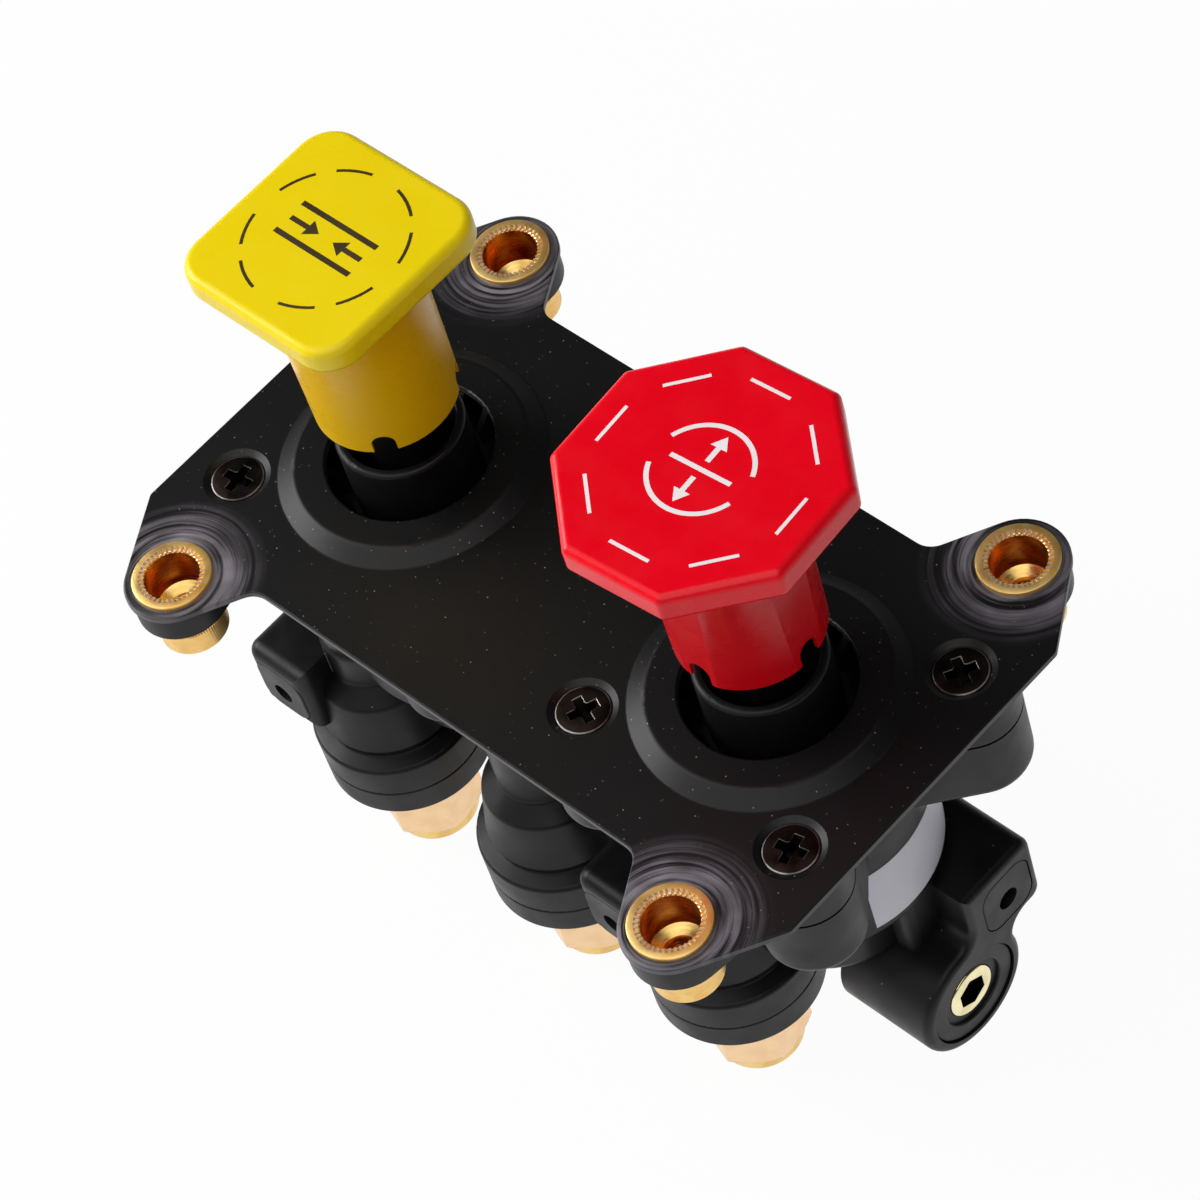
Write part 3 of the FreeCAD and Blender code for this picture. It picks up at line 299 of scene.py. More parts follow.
def scrubbed_rings(tree, place):
    """Distance from the nearest insert, and the arcs that washers left round it, 0 to 1."""
    folded = put(tree, "VectorMath", {0: place}, operation="ABSOLUTE").outputs[0]
    offset = put(tree, "VectorMath", {0: folded, 1: (INSERT_X, INSERT_Y, 0)}, operation="SUBTRACT")
    plane = put(tree, "VectorMath", {0: offset.outputs[0], 1: (1, 1, 0)}, operation="MULTIPLY").outputs[0]
    distance = put(tree, "VectorMath", {0: plane}, operation="LENGTH").outputs[1]
    around = put(tree, "VectorMath", {0: plane}, operation="NORMALIZE").outputs[0]
    slow = put(tree, "VectorMath", {0: around, 1: (0.55, 0.55, 0.0)}, operation="MULTIPLY").outputs[0]
    corner = put(tree, "VectorMath", {0: place}, operation="SIGN").outputs[0]
    apart = put(tree, "VectorMath", {0: corner, 1: (3.1, 7.3, 0.0)}, operation="MULTIPLY").outputs[0]
    seat = put(tree, "VectorMath", {0: slow, 1: apart}, operation="ADD").outputs[0]
    outward = put(tree, "CombineXYZ", {2: sums(tree, "MULTIPLY", distance, 1400.0)}).outputs[0]
    read = put(tree, "VectorMath", {0: seat, 1: outward}, operation="ADD").outputs[0]
    arcs = noise(tree, read, 1.0, 5.0)
    return distance, arcs


def dust(tree, place, cells, size, share):
    """Pale specks: the middles of scattered flat cells, of which only a share holds one."""
    spots = put(tree, "TexVoronoi", {"Vector": place, "Scale": cells}, voronoi_dimensions="2D")
    close = sums(tree, "LESS_THAN", spots.outputs["Distance"], size)
    pick = put(tree, "SeparateColor", {0: spots.outputs["Color"]})
    kept = sums(tree, "LESS_THAN", pick.outputs[0], share)
    bright = sums(tree, "MULTIPLY", close, pick.outputs[1])
    return sums(tree, "MULTIPLY", bright, kept)


def painted_steel():
    """Satin black paint with scrubbed arcs, dust, and edges painted lighter: a painted highlight, partly worn
    paint.
    """
    made, tree, shader, place = begin("painted_steel", srgb(7, 7, 9), 0.42, shine=0.28)
    distance, arcs = scrubbed_rings(tree, place)
    near = fade(tree, distance, 0.0075, 0.0170, 1.0, 0.0)
    patchy = fade(tree, noise(tree, place, 120.0), 0.3, 0.7, 0.45, 1.0)
    streaks = fade(tree, arcs, 0.34, 0.66)
    worn = sums(tree, "MULTIPLY", sums(tree, "MULTIPLY", near, patchy), streaks)
    mottled = blend_color(tree, noise(tree, place, 70.0), srgb(5, 5, 6), srgb(13, 13, 15))
    color = blend_color(tree, worn, mottled, srgb(138, 133, 142))
    facing = put(tree, "SeparateXYZ", {0: put(tree, "NewGeometry").outputs["Normal"]}).outputs["Z"]
    # Painted highlight, partly worn paint: faces that look sideways, the plate's edges, are mixed towards
    # light grey.
    edge = fade(tree, sums(tree, "ABSOLUTE", facing), 0.15, 0.45, 1.0, 0.0)
    color = blend_color(tree, sums(tree, "MULTIPLY", edge, 0.35), color, srgb(112, 110, 116))
    flecks = sums(tree, "ADD", dust(tree, place, 300.0, 0.032, 0.3), dust(tree, place, 760.0, 0.05, 0.1))
    flecks = sums(tree, "MULTIPLY", flecks, fade(tree, facing, 0.4, 0.7))
    color = blend_color(tree, flecks, color, srgb(150, 147, 144))
    tree.links.new(color, shader.inputs["Base Color"])
    rough = fade(tree, worn, 0.0, 1.0, 0.42, 0.5)
    tree.links.new(rough, shader.inputs["Roughness"])
    grain = sums(tree, "ADD", noise(tree, place, 1600.0), sums(tree, "MULTIPLY", worn, 1.5))
    raise_bumps(tree, shader, grain, 0.000010, 0.5)
    return made


plate_paint = painted_steel()
print(plate_paint.name, "has", len(plate_paint.node_tree.nodes), "nodes")

# %% [markdown]
# ## Moulded plastics
#
# The housings, caps and knobs are moulded. A mould leaves a fine grain, the colour drifts a little
# from place to place, and the gloss with it. One function makes all of them: two close colours
# mixed by large soft noise, a grain as bump, and a roughness that wanders. The knobs are smooth
# and glossy, and their necks get a deeper colour than their heads: painted shade on the sides
# under the head. The housing is dull, and fine lint sits on it.

# %% Moulded plastic and rubber
KNOB_HEAD_Z = 0.0505


def moulded(name, dark, light, roughness, grain_scale, grain_depth, specks=0.0, shine=0.5, neck=None):
    """A moulded finish between two close colours. neck is painted shade: a deeper colour for a knob's neck
    under its head.
    """
    made, tree, shader, place = begin(name, dark, roughness, shine=shine)
    drift = noise(tree, place, 55.0, 3.0)
    color = blend_color(tree, fade(tree, drift, 0.3, 0.7), dark, light)
    if neck:
        # Painted shade: under the head's height the knob takes the deeper neck colour, standing for the shade
        # on its sides.
        height = put(tree, "SeparateXYZ", {0: place}).outputs["Z"]
        below = fade(tree, height, KNOB_HEAD_Z - 0.002, KNOB_HEAD_Z + 0.001, 1.0, 0.0)
        color = blend_color(tree, below, color, neck)
    if specks > 0:
        lint = dust(tree, place, 420.0, 0.05, specks)
        color = blend_color(tree, lint, color, srgb(120, 118, 120))
    tree.links.new(color, shader.inputs["Base Color"])
    gloss = fade(tree, noise(tree, place, 140.0), 0.25, 0.75, roughness - 0.07, roughness + 0.07)
    tree.links.new(gloss, shader.inputs["Roughness"])
    raise_bumps(tree, shader, noise(tree, place, grain_scale, 3.0), grain_depth, 0.5)
    return made


FINISH = {
    "housing": moulded("black_moulding", srgb(11, 11, 12), srgb(18, 18, 20), 0.42, 1500.0, 0.00002,
                       specks=0.06, shine=0.26),
    "cap": moulded("black_cap_moulding", srgb(17, 17, 18), srgb(23, 23, 25), 0.46, 1700.0, 0.00002,
                   shine=0.3),
    # The neck colours of the two knobs are painted shade, deeper than the colours of their heads.
    "yellow": moulded("yellow_knob_plastic", srgb(240, 212, 8), srgb(243, 216, 12), 0.3, 900.0, 0.00001,
                      shine=0.3, neck=srgb(236, 186, 2)),
    "red": moulded("red_knob_plastic", srgb(236, 0, 24), srgb(242, 0, 28), 0.28, 900.0, 0.00001,
                   shine=0.3, neck=srgb(214, 0, 18)),
    "stem": moulded("black_stem_plastic", srgb(12, 12, 13), srgb(18, 18, 19), 0.35, 1200.0, 0.00001),
    "rubber": moulded("seal_rubber", srgb(18, 18, 18), srgb(26, 26, 26), 0.6, 2200.0, 0.00002),
    "gasket": moulded("gasket_rubber", srgb(14, 13, 13), srgb(24, 22, 22), 0.8, 2600.0, 0.00004),
    "label": moulded("pale_label", srgb(224, 223, 236), srgb(230, 229, 240), 0.45, 700.0, 0.000006),
}
print("plastics:", sorted(FINISH))

# %% [markdown]
# ## Metals
#
# Turned brass keeps the tool's fine rings, and its colour darkens where it has been handled. The
# rings follow the height, because each piece was turned about an upright axis. The inserts are
# deep gold, their bores a darker orange that is painted shade, and the tips of their serrations a
# pale painted highlight; the port fittings are a pale peach brass, and the end plug is plated.

# %% Metal
TOOL_LINES = 5200.0
TOOL_LINE_DEPTH = 0.000004


def turned_metal(name, bright, dull, roughness, metallic=1.0):
    """A turned metal between two close colours, with the tool's rings as bump and as gloss."""
    made, tree, shader, place = begin(name, bright, roughness, metallic)
    cloudy = fade(tree, noise(tree, place, 240.0, 4.0), 0.35, 0.7)
    tree.links.new(blend_color(tree, cloudy, bright, dull), shader.inputs["Base Color"])
    stretched = put(tree, "VectorMath", {0: place, 1: (0.06, 0.06, 1.0)}, operation="MULTIPLY").outputs[0]
    rings = noise(tree, stretched, TOOL_LINES)
    rough = fade(tree, rings, 0.3, 0.7, roughness - 0.05, roughness + 0.08)
    tree.links.new(rough, shader.inputs["Roughness"])
    raise_bumps(tree, shader, rings, TOOL_LINE_DEPTH, 0.5)
    return made


FINISH["insert"] = turned_metal("insert_brass", srgb(252, 212, 134), srgb(240, 188, 104), 0.38, 0.8)
# Painted shade: a darker, more orange brass for the inside of the inserts' bores.
FINISH["bore"] = turned_metal("insert_bore_painted_shade", srgb(222, 138, 34), srgb(150, 78, 12), 0.3)
# Painted highlight: a pale brass for the tips of the inserts' serrations.
FINISH["cut"] = turned_metal("serration_painted_highlight", srgb(255, 240, 212), srgb(250, 224, 180), 0.3, 0.75)
FINISH["port"] = turned_metal("port_brass", srgb(246, 210, 166), srgb(238, 200, 154), 0.34)
FINISH["lip"] = turned_metal("port_lip_brass", srgb(240, 204, 128), srgb(224, 184, 106), 0.26)
FINISH["plug"] = turned_metal("pale_gold_plating", srgb(246, 236, 190), srgb(226, 212, 160), 0.1)
FINISH["screw"] = turned_metal("black_oxide_steel", srgb(46, 38, 34), srgb(24, 20, 19), 0.42)
# Bright grey steel for the screws' edges and rims: partly worn finish, partly painted highlight.
FINISH["worn_edge"] = turned_metal("worn_and_highlight_screw_edge", srgb(164, 158, 154), srgb(70, 66, 64), 0.36)
FINISH["steel"] = turned_metal("spring_steel", srgb(178, 178, 180), srgb(150, 150, 153), 0.3)
FINISH["plate"] = plate_paint
print("finishes:", len(FINISH))

# %% [markdown]
# ## The socket in the end plug
#
# The check valve's plug has a hexagon socket. Little light gets into it, so it looks nearly black
# inside a bright ring. The solid has the real socket, and that shade is painted on as colour. Every
# point nearer to the plug's axis than the socket's corners, and deeper than its face, gets the
# darker colour: painted shade.

# %% Shade in the plug's socket
PLUG_AXIS = (0.0, 0.0025, -0.0698)
PLUG_FACE_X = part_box("check_valve_plug")[1].x
SOCKET_R = 0.0034


def shade_socket(made):
    """Paint shade into the plug's hexagon socket: a darker colour where little light gets in."""
    tree = made.node_tree
    shader = tree.nodes["Principled BSDF"]
    plain = shader.inputs["Base Color"].links[0].from_socket
    place = put(tree, "TexCoord").outputs["Object"]
    apart = put(tree, "VectorMath", {0: place, 1: PLUG_AXIS}, operation="SUBTRACT").outputs[0]
    across = put(tree, "VectorMath", {0: apart, 1: (0, 1, 1)}, operation="MULTIPLY").outputs[0]
    reach = put(tree, "VectorMath", {0: across}, operation="LENGTH").outputs[1]
    depth = put(tree, "SeparateXYZ", {0: place}).outputs["X"]
    inside = sums(tree, "LESS_THAN", reach, SOCKET_R)
    deep = sums(tree, "LESS_THAN", depth, PLUG_FACE_X - 0.0002)
    # Painted shade: the inside of the socket takes a near-black brown.
    shaded = blend_color(tree, sums(tree, "MULTIPLY", inside, deep), plain, srgb(40, 34, 24))
    tree.links.new(shaded, shader.inputs["Base Color"])


shade_socket(FINISH["plug"])
print("plug face at x =", round(PLUG_FACE_X / MM, 2), "mm")

# %% [markdown]
# ## Dress the CAD pieces
#
# The CAD solids already have the right shapes, so most of them only need their finish. The first
# word that a node's name holds decides it, which keeps the list short and leaves no node out.

# %% Give every node a finish
BY_NAME = [
    ("cover_plate", "plate"), ("cover_screws", "screw"), ("disc_screw", "steel"), ("insert", "insert"),
    ("port_fitting", "port"), ("port_cap", "cap"), ("vent_cap", "cap"), ("check_valve_cap", "cap"),
    ("check_valve_plug", "plug"), ("housing_gasket", "gasket"), ("housing", "housing"),
    ("label", "label"), ("parking_knob", "yellow"), ("trailer_knob", "red"), ("plunger", "stem"),
    ("shuttle", "stem"), ("retainer", "steel"), ("spring", "steel"), ("seal", "rubber"),
    ("disc", "rubber"), ("seat", "stem"),
]
for name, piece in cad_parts.items():
    finish = next(kind for word, kind in BY_NAME if word in name)
    piece.data.materials.clear()
    piece.data.materials.append(FINISH[finish])
print("dressed", len(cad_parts), "nodes")

# %% [markdown]
# ## Turned pieces with their real detail
#
# Screws, inserts and fittings come off a lathe, so each can be built as rows of points round an
# axis. A plain lathe surface has no serrations or threads. The trick is to let a small function
# move single points: pull every few columns in for a knurl, or let the radius follow a saw-tooth
# that climbs as it goes round for a thread. The shape stays one closed mesh.

# %% A lathe whose points may be moved
def spun(name, rows, columns, reshape=None, closed=False, sharp=35.0):
    """A mesh from (radius, height, tag) rows in mm; reshape(tag, azimuth, radius, height) moves a point.

    A closed piece joins its last row to its first. Any other gets a flat face over each end."""
    points, rings = [], []
    for radius, height, tag in rows:
        rings.append(list(range(len(points), len(points) + columns)))
        for i in range(columns):
            azimuth = math.tau * i / columns
            r, z = reshape(tag, azimuth, radius, height) if tag and reshape else (radius, height)
            points.append((r * math.cos(azimuth) * MM, r * math.sin(azimuth) * MM, z * MM))
    faces = [] if closed else [rings[0], rings[-1]]
    for low, high in zip(rings, rings[1:] + rings[:1] if closed else rings[1:]):
        for i in range(columns):
            j = (i + 1) % columns
            faces.append((low[i], low[j], high[j], high[i]))
    mesh = bpy.data.meshes.new(name)
    mesh.from_pydata(points, [], faces)
    return tidy_mesh(mesh, sharp)


def tidy_mesh(mesh, sharp):
    """Point all faces outwards and shade smooth, except over edges sharper than this angle."""
    work = bmesh.new()
    work.from_mesh(mesh)
    bmesh.ops.recalc_face_normals(work, faces=work.faces)
    work.to_mesh(mesh)
    work.free()
    mesh.shade_smooth()
    mesh.set_sharp_from_angle(angle=math.radians(sharp))
    return mesh


def stand(name, mesh, finishes, body, x=0.0, y=0.0, spin=0.0):
    """An object for a mesh, turned and moved in mm, which rides on a CAD body."""
    made = bpy.data.objects.new(name, mesh)
    bpy.context.scene.collection.objects.link(made)
    for finish in finishes:
        if finish.name not in mesh.materials:
            mesh.materials.append(finish)
    made.matrix_world = Matrix.Translation((x * MM, y * MM, 0)) @ Matrix.Rotation(math.radians(spin), 4, "Z")
    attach(made, body)
    return made


def zone(mesh, index, test):
    """Give faces another finish where test(radius, height, azimuth) of their middle, in mm, is true."""
    for face in mesh.polygons:
        x, y, z = face.center / MM
        if test(math.hypot(x, y), z, math.atan2(y, x) % math.tau):
            face.material_index = index


print("lathe helper ready")

# %% [markdown]
# ## Return springs
#
# A return spring stands on the housing and carries the plunger, so it shortens when its knob goes
# in. Real coils close up evenly. The solid can only move as a whole, so a copy of its mesh stays on
# the housing.

# %% Return springs
for button in ("parking", "trailer"):
    node = button + "_return_spring"
    coil = stand(button + "_coil_spring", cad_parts[node].data.copy(), [], "housing")
    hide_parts(node)
    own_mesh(coil)

# %% [markdown]
# ## Brass mounting inserts
#
# Each ear of the plate is clamped by a brass insert. Its flange is turned smooth, the mouth of the
# bore is cut with fine radial serrations, a bright step shows at the bottom of the bore with the
# thread below it, and the barrel under the ear is knurled to grip the plastic.

# %% Inserts
TICKS = 38
STEPS_PER_TICK = 8
FLANGE_TOP = 0.8
FLANGE_R = 6.93
BORE_R = 4.8
STEP_Z = -7.4
BARREL_R = 6.0
BARREL_END = -14.0


def tick_gap(azimuth):
    """Whether an azimuth lies in the cut between two serrations."""
    return azimuth * TICKS / math.tau % 1.0 < 0.45


def cut_insert(tag, azimuth, radius, height):
    """Serrate the mouth, knurl the barrel and thread the hole."""
    if tag == "tick":
        return radius, height - (0.4 if tick_gap(azimuth) else 0.0)
    if tag == "knurl":
        return radius - 0.26 * abs(2 * (azimuth * 2 * TICKS / math.tau % 1.0) - 1), height
    if tag == "thread":
        return radius - 0.3 * abs(2 * ((height / 0.8 + azimuth / math.tau) % 1.0) - 1), height
    return radius, height


insert_rows = [(BORE_R, FLANGE_TOP - 0.5, ""), (BORE_R + 0.05, FLANGE_TOP - 0.15, "tick"),
               (BORE_R + 0.2, FLANGE_TOP - 0.03, "tick"), (BORE_R + 0.75, FLANGE_TOP, "tick"),
               (BORE_R + 0.95, FLANGE_TOP, ""), (FLANGE_R - 0.22, FLANGE_TOP, ""),
               (FLANGE_R - 0.08, FLANGE_TOP - 0.06, ""), (FLANGE_R, FLANGE_TOP - 0.2, ""),
               (FLANGE_R, 0.0, "")]
insert_rows += [(BARREL_R, 0.0, ""), (BARREL_R - 0.1, -6.6, "")]
insert_rows += [(BARREL_R, z, "knurl") for z in (-6.7, -7.6, -8.5, -9.4)] + [(BARREL_R - 0.15, -9.6, "")]
insert_rows += [(BARREL_R - 0.05, BARREL_END + 0.3, ""), (BARREL_R - 0.35, BARREL_END, ""),
                (2.9, BARREL_END, "")]
insert_rows += [(2.6, BARREL_END + 0.2 + 0.16 * k, "thread") for k in range(33)]
insert_rows += [(2.8, STEP_Z - 1.1, ""), (3.0, STEP_Z - 0.95, ""), (BORE_R - 0.15, STEP_Z - 0.1, ""),
                (BORE_R, STEP_Z, ""), (BORE_R, -4.0, ""), (BORE_R, -1.0, "")]
insert_mesh = spun("insert", insert_rows, TICKS * STEPS_PER_TICK, cut_insert, closed=True, sharp=30.0)
# Painted shade: the bore and its thread take the darker bore finish.
zone(insert_mesh, 1, lambda r, z, a: r < BORE_R + 0.02 and z < FLANGE_TOP - 0.2)
# Painted highlight: the raised tips of the serrations take the pale finish.
zone(insert_mesh, 2, lambda r, z, a: BORE_R < r < BORE_R + 0.9 and z > 0.2 and not tick_gap(a))
zone(insert_mesh, 3, lambda r, z, a: 2.9 < r < BORE_R and STEP_Z - 1.1 < z < STEP_Z)
INSERT_FINISHES = [FINISH["insert"], FINISH["bore"], FINISH["cut"], FINISH["lip"]]
CORNERS = {"front_left": (-1, -1), "front_right": (1, -1), "rear_left": (-1, 1), "rear_right": (1, 1)}
for spin, (corner, (sx, sy)) in enumerate(CORNERS.items()):
    piece = stand("brass_insert_" + corner, insert_mesh, INSERT_FINISHES, "housing",
                  sx * INSERT_X / MM, sy * INSERT_Y / MM, 31.0 * spin)
    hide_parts("insert_" + corner)
print("insert faces:", len(insert_mesh.polygons))

# %% [markdown]
# ## The cross of the screws
#
# The six cover screws sink into dimples. A cross recess is wide at the top and narrow at the
# bottom, so it is built as a solid of its own, lofted through three outlines of the same cross in
# different sizes. A boolean can then cut it out of a screw's head.

# %% A solid cross
HEAD_TOP = -0.45
HEAD_R = 4.65


def cross_outline(half_width, reach, notch):
    """The cross seen from above, in mm, with cut inner corners."""
    quarter = [(reach, -half_width), (reach, half_width), (half_width + notch, half_width),
               (half_width, half_width + notch)]
    points = []
    for k in range(4):
        c, s = round(math.cos(k * math.pi / 2)), round(math.sin(k * math.pi / 2))
        points += [(x * c - y * s, x * s + y * c) for x, y in quarter]
    return points


def loft(name, layers):
    """A closed mesh through outlines of equal length, each given with its height, in mm."""
    points, faces = [], []
    count = len(layers[0][0])
    for outline, height in layers:
        points += [(x * MM, y * MM, height * MM) for x, y in outline]
    for layer in range(len(layers) - 1):
        for i in range(count):
            j = (i + 1) % count
            a, b = layer * count, (layer + 1) * count
            faces.append((a + i, a + j, b + j, b + i))
    faces += [tuple(range(count)), tuple(range(len(points) - count, len(points)))]
    mesh = bpy.data.meshes.new(name)
    mesh.from_pydata(points, [], faces)
    return tidy_mesh(mesh, 30.0)


cross = loft("cross_tool", [(cross_outline(0.42, 1.25, 0.25), -2.7),
                            (cross_outline(0.80, 2.62, 0.3), HEAD_TOP - 0.3),
                            (cross_outline(0.84, 2.75, 0.32), 0.2)])
print("cross faces:", len(cross.polygons))

# %% [markdown]
# ## The screw
#
# The blank comes off the lathe helper: a countersunk head and a shank whose radius follows a
# saw-tooth that climbs one pitch in each turn. The boolean cuts the cross, and its result is kept
# as a plain mesh, so both helper objects can go.

# %% A screw with its recess
SCREW_PITCH = 1.25


def cut_thread(tag, azimuth, radius, height):
    """A pointed thread on the shank."""
    climb = (height / SCREW_PITCH + azimuth / math.tau) % 1.0
    return radius - 0.42 * min(1.0, 1.6 * abs(2 * climb - 1)), height


screw_rows = [(HEAD_R - 0.28, HEAD_TOP, ""), (HEAD_R - 0.08, HEAD_TOP - 0.07, ""),
              (HEAD_R, HEAD_TOP - 0.18, ""), (HEAD_R, HEAD_TOP - 0.35, ""), (2.15, -3.3, "")]
screw_rows += [(2.1, -3.9 - 0.156 * k, "thread") for k in range(80)] + [(1.2, -16.8, ""), (0.6, -17.0, "")]
blank = bpy.data.objects.new("screw_blank", spun("cover_screw", screw_rows, 72, cut_thread))
tool = bpy.data.objects.new("cross_tool", cross)
for helper in (blank, tool):
    bpy.context.scene.collection.objects.link(helper)
carve = blank.modifiers.new("cross", "BOOLEAN")
carve.object = tool
carve.operation = "DIFFERENCE"
bpy.context.view_layer.update()
finished = bpy.data.meshes.new_from_object(blank.evaluated_get(bpy.context.evaluated_depsgraph_get()))
for helper in (blank, tool):
    bpy.data.objects.remove(helper)
print("one screw:", len(finished.polygons), "faces")

# %% [markdown]
# ## Worn edges and a painted highlight
#
# Handling wears the black finish off a screw's edges, and a thin bright line shows round the
# recess and the rim. A narrow bevel on the sharp edges of the head alone makes the faces for it,
# and those take a second, brighter finish, which is partly that wear and partly a painted highlight.
# All six screws are one mesh, each turned by its own listed angle.

# %% Worn edges with a painted highlight, and the six places
SCREW_PLACES = {(-63.1, -20.2): 8, (-63.1, 20.2): 35, (18.3, -20.2): -22, (18.3, 20.2): 50,
                (63.1, -20.2): 12, (63.1, 20.2): -30}
WEAR_WIDTH = 0.09
WEAR_ANGLE = 40.0


def wear(mesh, width, sharp):
    """Cut the sharp edges of a screw's face flat; the new faces take the second finish."""
    work = bmesh.new()
    work.from_mesh(mesh)
    worn = []
    for edge in work.edges:
        low = min(end.co.z for end in edge.verts)
        if len(edge.link_faces) == 2 and low > (HEAD_TOP - 0.05) * MM:
            if edge.calc_face_angle() > math.radians(sharp):
                worn.append(edge)
    bmesh.ops.bevel(work, geom=worn, offset=width * MM, offset_type="OFFSET", segments=1, profile=0.5,
                    affect="EDGES", clamp_overlap=True, material=1)
    work.to_mesh(mesh)
    work.free()
    # Partly wear, partly painted highlight: the outer rim band of each head takes the bright finish.
    zone(mesh, 1, lambda r, z, a: r > HEAD_R - 0.26 and z > HEAD_TOP - 0.2)
    return tidy_mesh(mesh, 24.0)


finished.materials.append(FINISH["screw"])
finished.materials.append(FINISH["worn_edge"])
wear(finished, WEAR_WIDTH, WEAR_ANGLE)
heads = bmesh.new()
for (x, y), spin in SCREW_PLACES.items():
    one = finished.copy()
    one.transform(Matrix.Translation((x * MM, y * MM, 0)) @ Matrix.Rotation(math.radians(spin), 4, "Z"))
    heads.from_mesh(one)
screws_mesh = bpy.data.meshes.new("cross_screws")
heads.to_mesh(screws_mesh)
heads.free()
tidy_mesh(screws_mesh, 24.0)
screws = stand("cross_screws", screws_mesh, [FINISH["screw"], FINISH["worn_edge"]], "housing")
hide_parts("cover_screws")
print("screw faces:", len(screws_mesh.polygons))

# %% [markdown]
# ## Brass port fittings
#
# Five hexagon fittings close the ports. Each is a hexagon bar with turned ends, so its outline is
# the smaller of the hexagon and a cone, and the cut between them makes the curved chamfer seen on
# every nut. Inside runs a pipe thread that a hose fitting screws into.

# %% Port fittings
PORTS = [(-54.5, -14.1), (-12.6, -14.1), (26.7, -14.1), (-26.7, 14.1), (12.6, 14.1)]
HEX_HALF = 8.5
HEX_CORNER_R = 9.9
HEX_CORNER_AZ = 41.5
HEX_TOP = -80.05
HEX_END = -96.1
NOSE_R = 7.0
NOSE_TOP = -62.5
COLLAR_R = 9.0
COLLAR_TOP = -70.6
COLLAR_END = -74.1
LIP_R = 7.9
FITTING_END = -100.7
PORT_BORE_R = 5.6
PORT_BORE_TOP = -84.0
PORT_PITCH = 1.4
PASSAGE_R = 4.0


def cut_fitting(tag, azimuth, radius, height):
    """Cut the hexagon out of the round rows and the thread into the bore."""
    if tag == "hex":
        off_flat = azimuth % (math.pi / 3) - math.pi / 6
        return min(radius, HEX_HALF / math.cos(off_flat)), height
    climb = (height / PORT_PITCH + azimuth / math.tau) % 1.0
    return radius + 0.42 * abs(2 * climb - 1), height


fitting_rows = [(5.2, NOSE_TOP, ""), (NOSE_R - 0.4, NOSE_TOP, ""), (NOSE_R, NOSE_TOP - 0.4, ""),
                (NOSE_R, COLLAR_TOP, ""), (COLLAR_R, COLLAR_TOP, ""), (COLLAR_R, COLLAR_END, ""),
                (7.5, COLLAR_END, ""), (7.5, HEX_TOP + 0.15, ""), (8.0, HEX_TOP, "")]
fitting_rows += [(8.9 + 0.15 * k, HEX_TOP - 0.1 * k, "hex") for k in range(7)]
fitting_rows += [(HEX_CORNER_R, z, "hex") for z in (-84.0, -88.0, -92.0, HEX_END + 0.2)]
fitting_rows += [(HEX_CORNER_R - 0.1 - 0.15 * k, HEX_END - 0.15 * k, "hex") for k in range(7)]
fitting_rows += [(8.1, HEX_END - 0.9, ""), (LIP_R, HEX_END - 1.0, ""), (LIP_R, FITTING_END + 0.7, ""),
                 (LIP_R - 0.1, FITTING_END + 0.35, ""), (LIP_R - 0.35, FITTING_END + 0.1, ""),
                 (LIP_R - 0.7, FITTING_END, ""), (6.4, FITTING_END, ""), (6.1, FITTING_END + 0.3, "")]
fitting_rows += [(PORT_BORE_R, FITTING_END + 0.5 + PORT_PITCH / 8 * k, "thread") for k in range(92)]
fitting_rows += [(PORT_BORE_R, PORT_BORE_TOP, ""), (PASSAGE_R, PORT_BORE_TOP, ""),
                 (PASSAGE_R, NOSE_TOP - 0.4, ""), (PASSAGE_R + 0.3, NOSE_TOP, "")]
fitting_mesh = spun("port_fitting", fitting_rows, 96, cut_fitting, closed=True, sharp=28.0)
zone(fitting_mesh, 1, lambda r, z, a: z < -97.3 or r < 6.2)
for number, (x, y) in enumerate(PORTS, 1):
    piece = stand("threaded_fitting_%d" % number, fitting_mesh, [FINISH["port"], FINISH["lip"]], "housing",
                  x, y, HEX_CORNER_AZ)
    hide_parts("port_fitting_%d" % number)
print("fitting faces:", len(fitting_mesh.polygons))

# %% [markdown]
# ## Printed marks on the knobs
#
# Knobs like these carry printed wording. This model keeps it general: plain arrows and bars in the
# print's own colours and weights, so the tops are not empty. Ink has hardly any thickness, so each
# mark is a flat shape that stands a few hundredths of a millimetre above the plastic.

# %% Flat shapes for print
def bar(x, y, length, width, angle):
    """A bar with its middle at x, y and its length along angle."""
    c, s = math.cos(math.radians(angle)), math.sin(math.radians(angle))
    corners = ((-1, -1), (1, -1), (1, 1), (-1, 1))
    box = [(a * length / 2, b * width / 2) for a, b in corners]
    return [(x + a * c - b * s, y + a * s + b * c) for a, b in box]


def arrow(x, y, length, width, angle):
    """An arrow from x, y along angle: a shaft of a given width and a head three times as wide."""
    c, s = math.cos(math.radians(angle)), math.sin(math.radians(angle))
    neck = length - 2.6 * width
    shape = ((0, -width / 2), (neck, -width / 2), (neck, -1.7 * width), (length, 0), (neck, 1.7 * width),
             (neck, width / 2), (0, width / 2))
    return [(x + a * c - b * s, y + a * s + b * c) for a, b in shape]


def band(radius, width, start, end):
    """Part of a ring round the middle, from one azimuth to another."""
    steps = max(2, int(abs(end - start) / 4))
    angles = [math.radians(start + (end - start) * k / steps) for k in range(steps + 1)]
    far, near = radius + width / 2, radius - width / 2
    outer = [(far * math.cos(a), far * math.sin(a)) for a in angles]
    inner = [(near * math.cos(a), near * math.sin(a)) for a in reversed(angles)]
    return outer + inner


INK_PROUD = 0.03


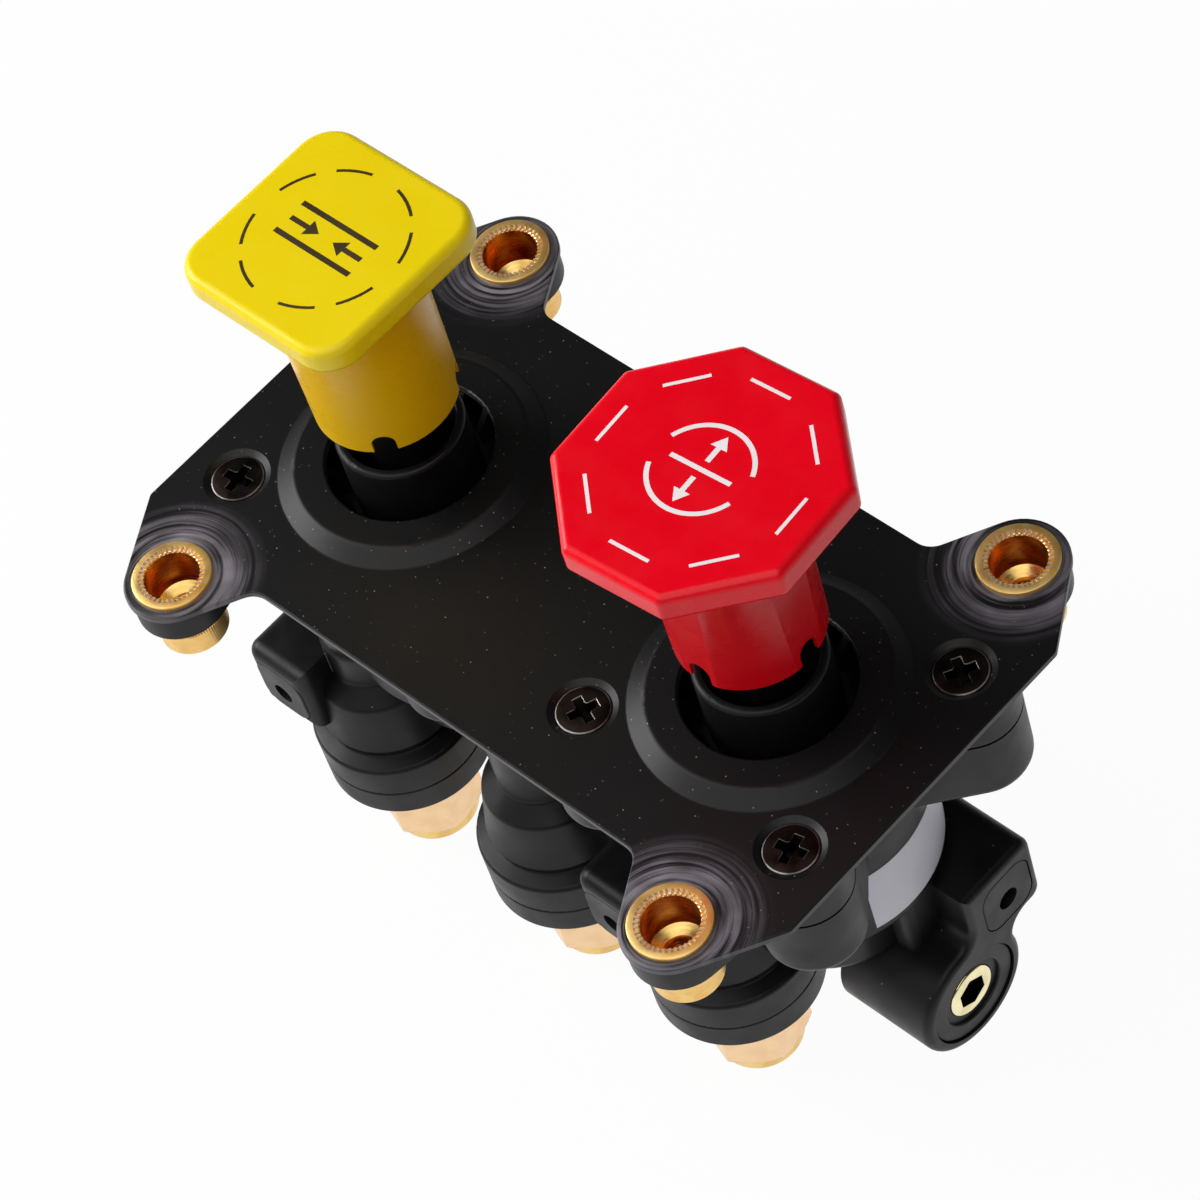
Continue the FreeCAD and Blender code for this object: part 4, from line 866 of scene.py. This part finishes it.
def printed(name, shapes, finish, body, x, y, height, spin):
    """All marks of one knob as one thin mesh, INK_PROUD over the plastic at that height."""
    work = bmesh.new()
    for shape in shapes:
        low = [work.verts.new((a * MM, b * MM, (height - INK_PROUD) * MM)) for a, b in shape]
        high = [work.verts.new((a * MM, b * MM, (height + INK_PROUD) * MM)) for a, b in shape]
        work.faces.new(high)
        work.faces.new(low[::-1])
        for i in range(len(shape)):
            j = (i + 1) % len(shape)
            work.faces.new((low[i], low[j], high[j], high[i]))
    mesh = bpy.data.meshes.new(name)
    work.to_mesh(mesh)
    work.free()
    return stand(name, tidy_mesh(mesh, 20.0), [finish], body, x, y, spin)


print("a bar has", len(bar(0, 0, 1, 1, 0)), "corners, an arrow", len(arrow(0, 0, 5, 1, 0)))

# %% [markdown]
# ## The two sets of marks
#
# The yellow knob gets two bars with arrows between them, and short arcs where a square knob has
# room for them. The red one gets a divided ring with two arrows, and one bar beside each of its
# eight sides. Both sets ride on their knobs, so they move and turn with them.

# %% Marks
KNOB_X = 40.64
YELLOW_TOP = 56.8
YELLOW_ARCS_R = 13.9
RED_TOP = 57.4
RED_BARS_R = 17.2
RED_SPIN = 4.28
FINISH["dark_ink"] = moulded("dark_print", srgb(52, 38, 8), srgb(66, 50, 12), 0.45, 1800.0, 0.000004)
FINISH["white_ink"] = moulded("white_print", srgb(246, 236, 238), srgb(250, 243, 244), 0.45, 1800.0, 0.000004)
yellow_marks = [bar(0, 3.2, 17.0, 1.0, 0), bar(0, -3.2, 17.0, 1.0, 0)]
yellow_marks += [arrow(-8.0, 0, 6.4, 0.95, 0), arrow(8.0, 0, 6.4, 0.95, 180)]
for k in range(4):
    yellow_marks.append(band(YELLOW_ARCS_R, 0.55, 90 * k + 12, 90 * k + 38))
    yellow_marks.append(band(YELLOW_ARCS_R, 0.55, 90 * k + 52, 90 * k + 78))
printed("yellow_knob_marks", yellow_marks, FINISH["dark_ink"], "parking_button",
        -KNOB_X, 0.0, YELLOW_TOP, 0.0)
red_marks = [band(8.2, 0.8, 20, 160), band(8.2, 0.8, 200, 340)]
red_marks += [arrow(0, 1.6, 5.2, 0.9, 90), arrow(0, -1.6, 5.2, 0.9, 270), bar(0, 0, 11.5, 0.8, 0)]
for k in range(8):
    a = math.radians(45 * k)
    red_marks.append(bar(RED_BARS_R * math.cos(a), RED_BARS_R * math.sin(a), 7.5, 0.6, 45 * k + 90))
printed("red_knob_marks", red_marks, FINISH["white_ink"], "trailer_button", KNOB_X, 0.0, RED_TOP, RED_SPIN)
print("marks:", len(yellow_marks), "on yellow,", len(red_marks), "on red")
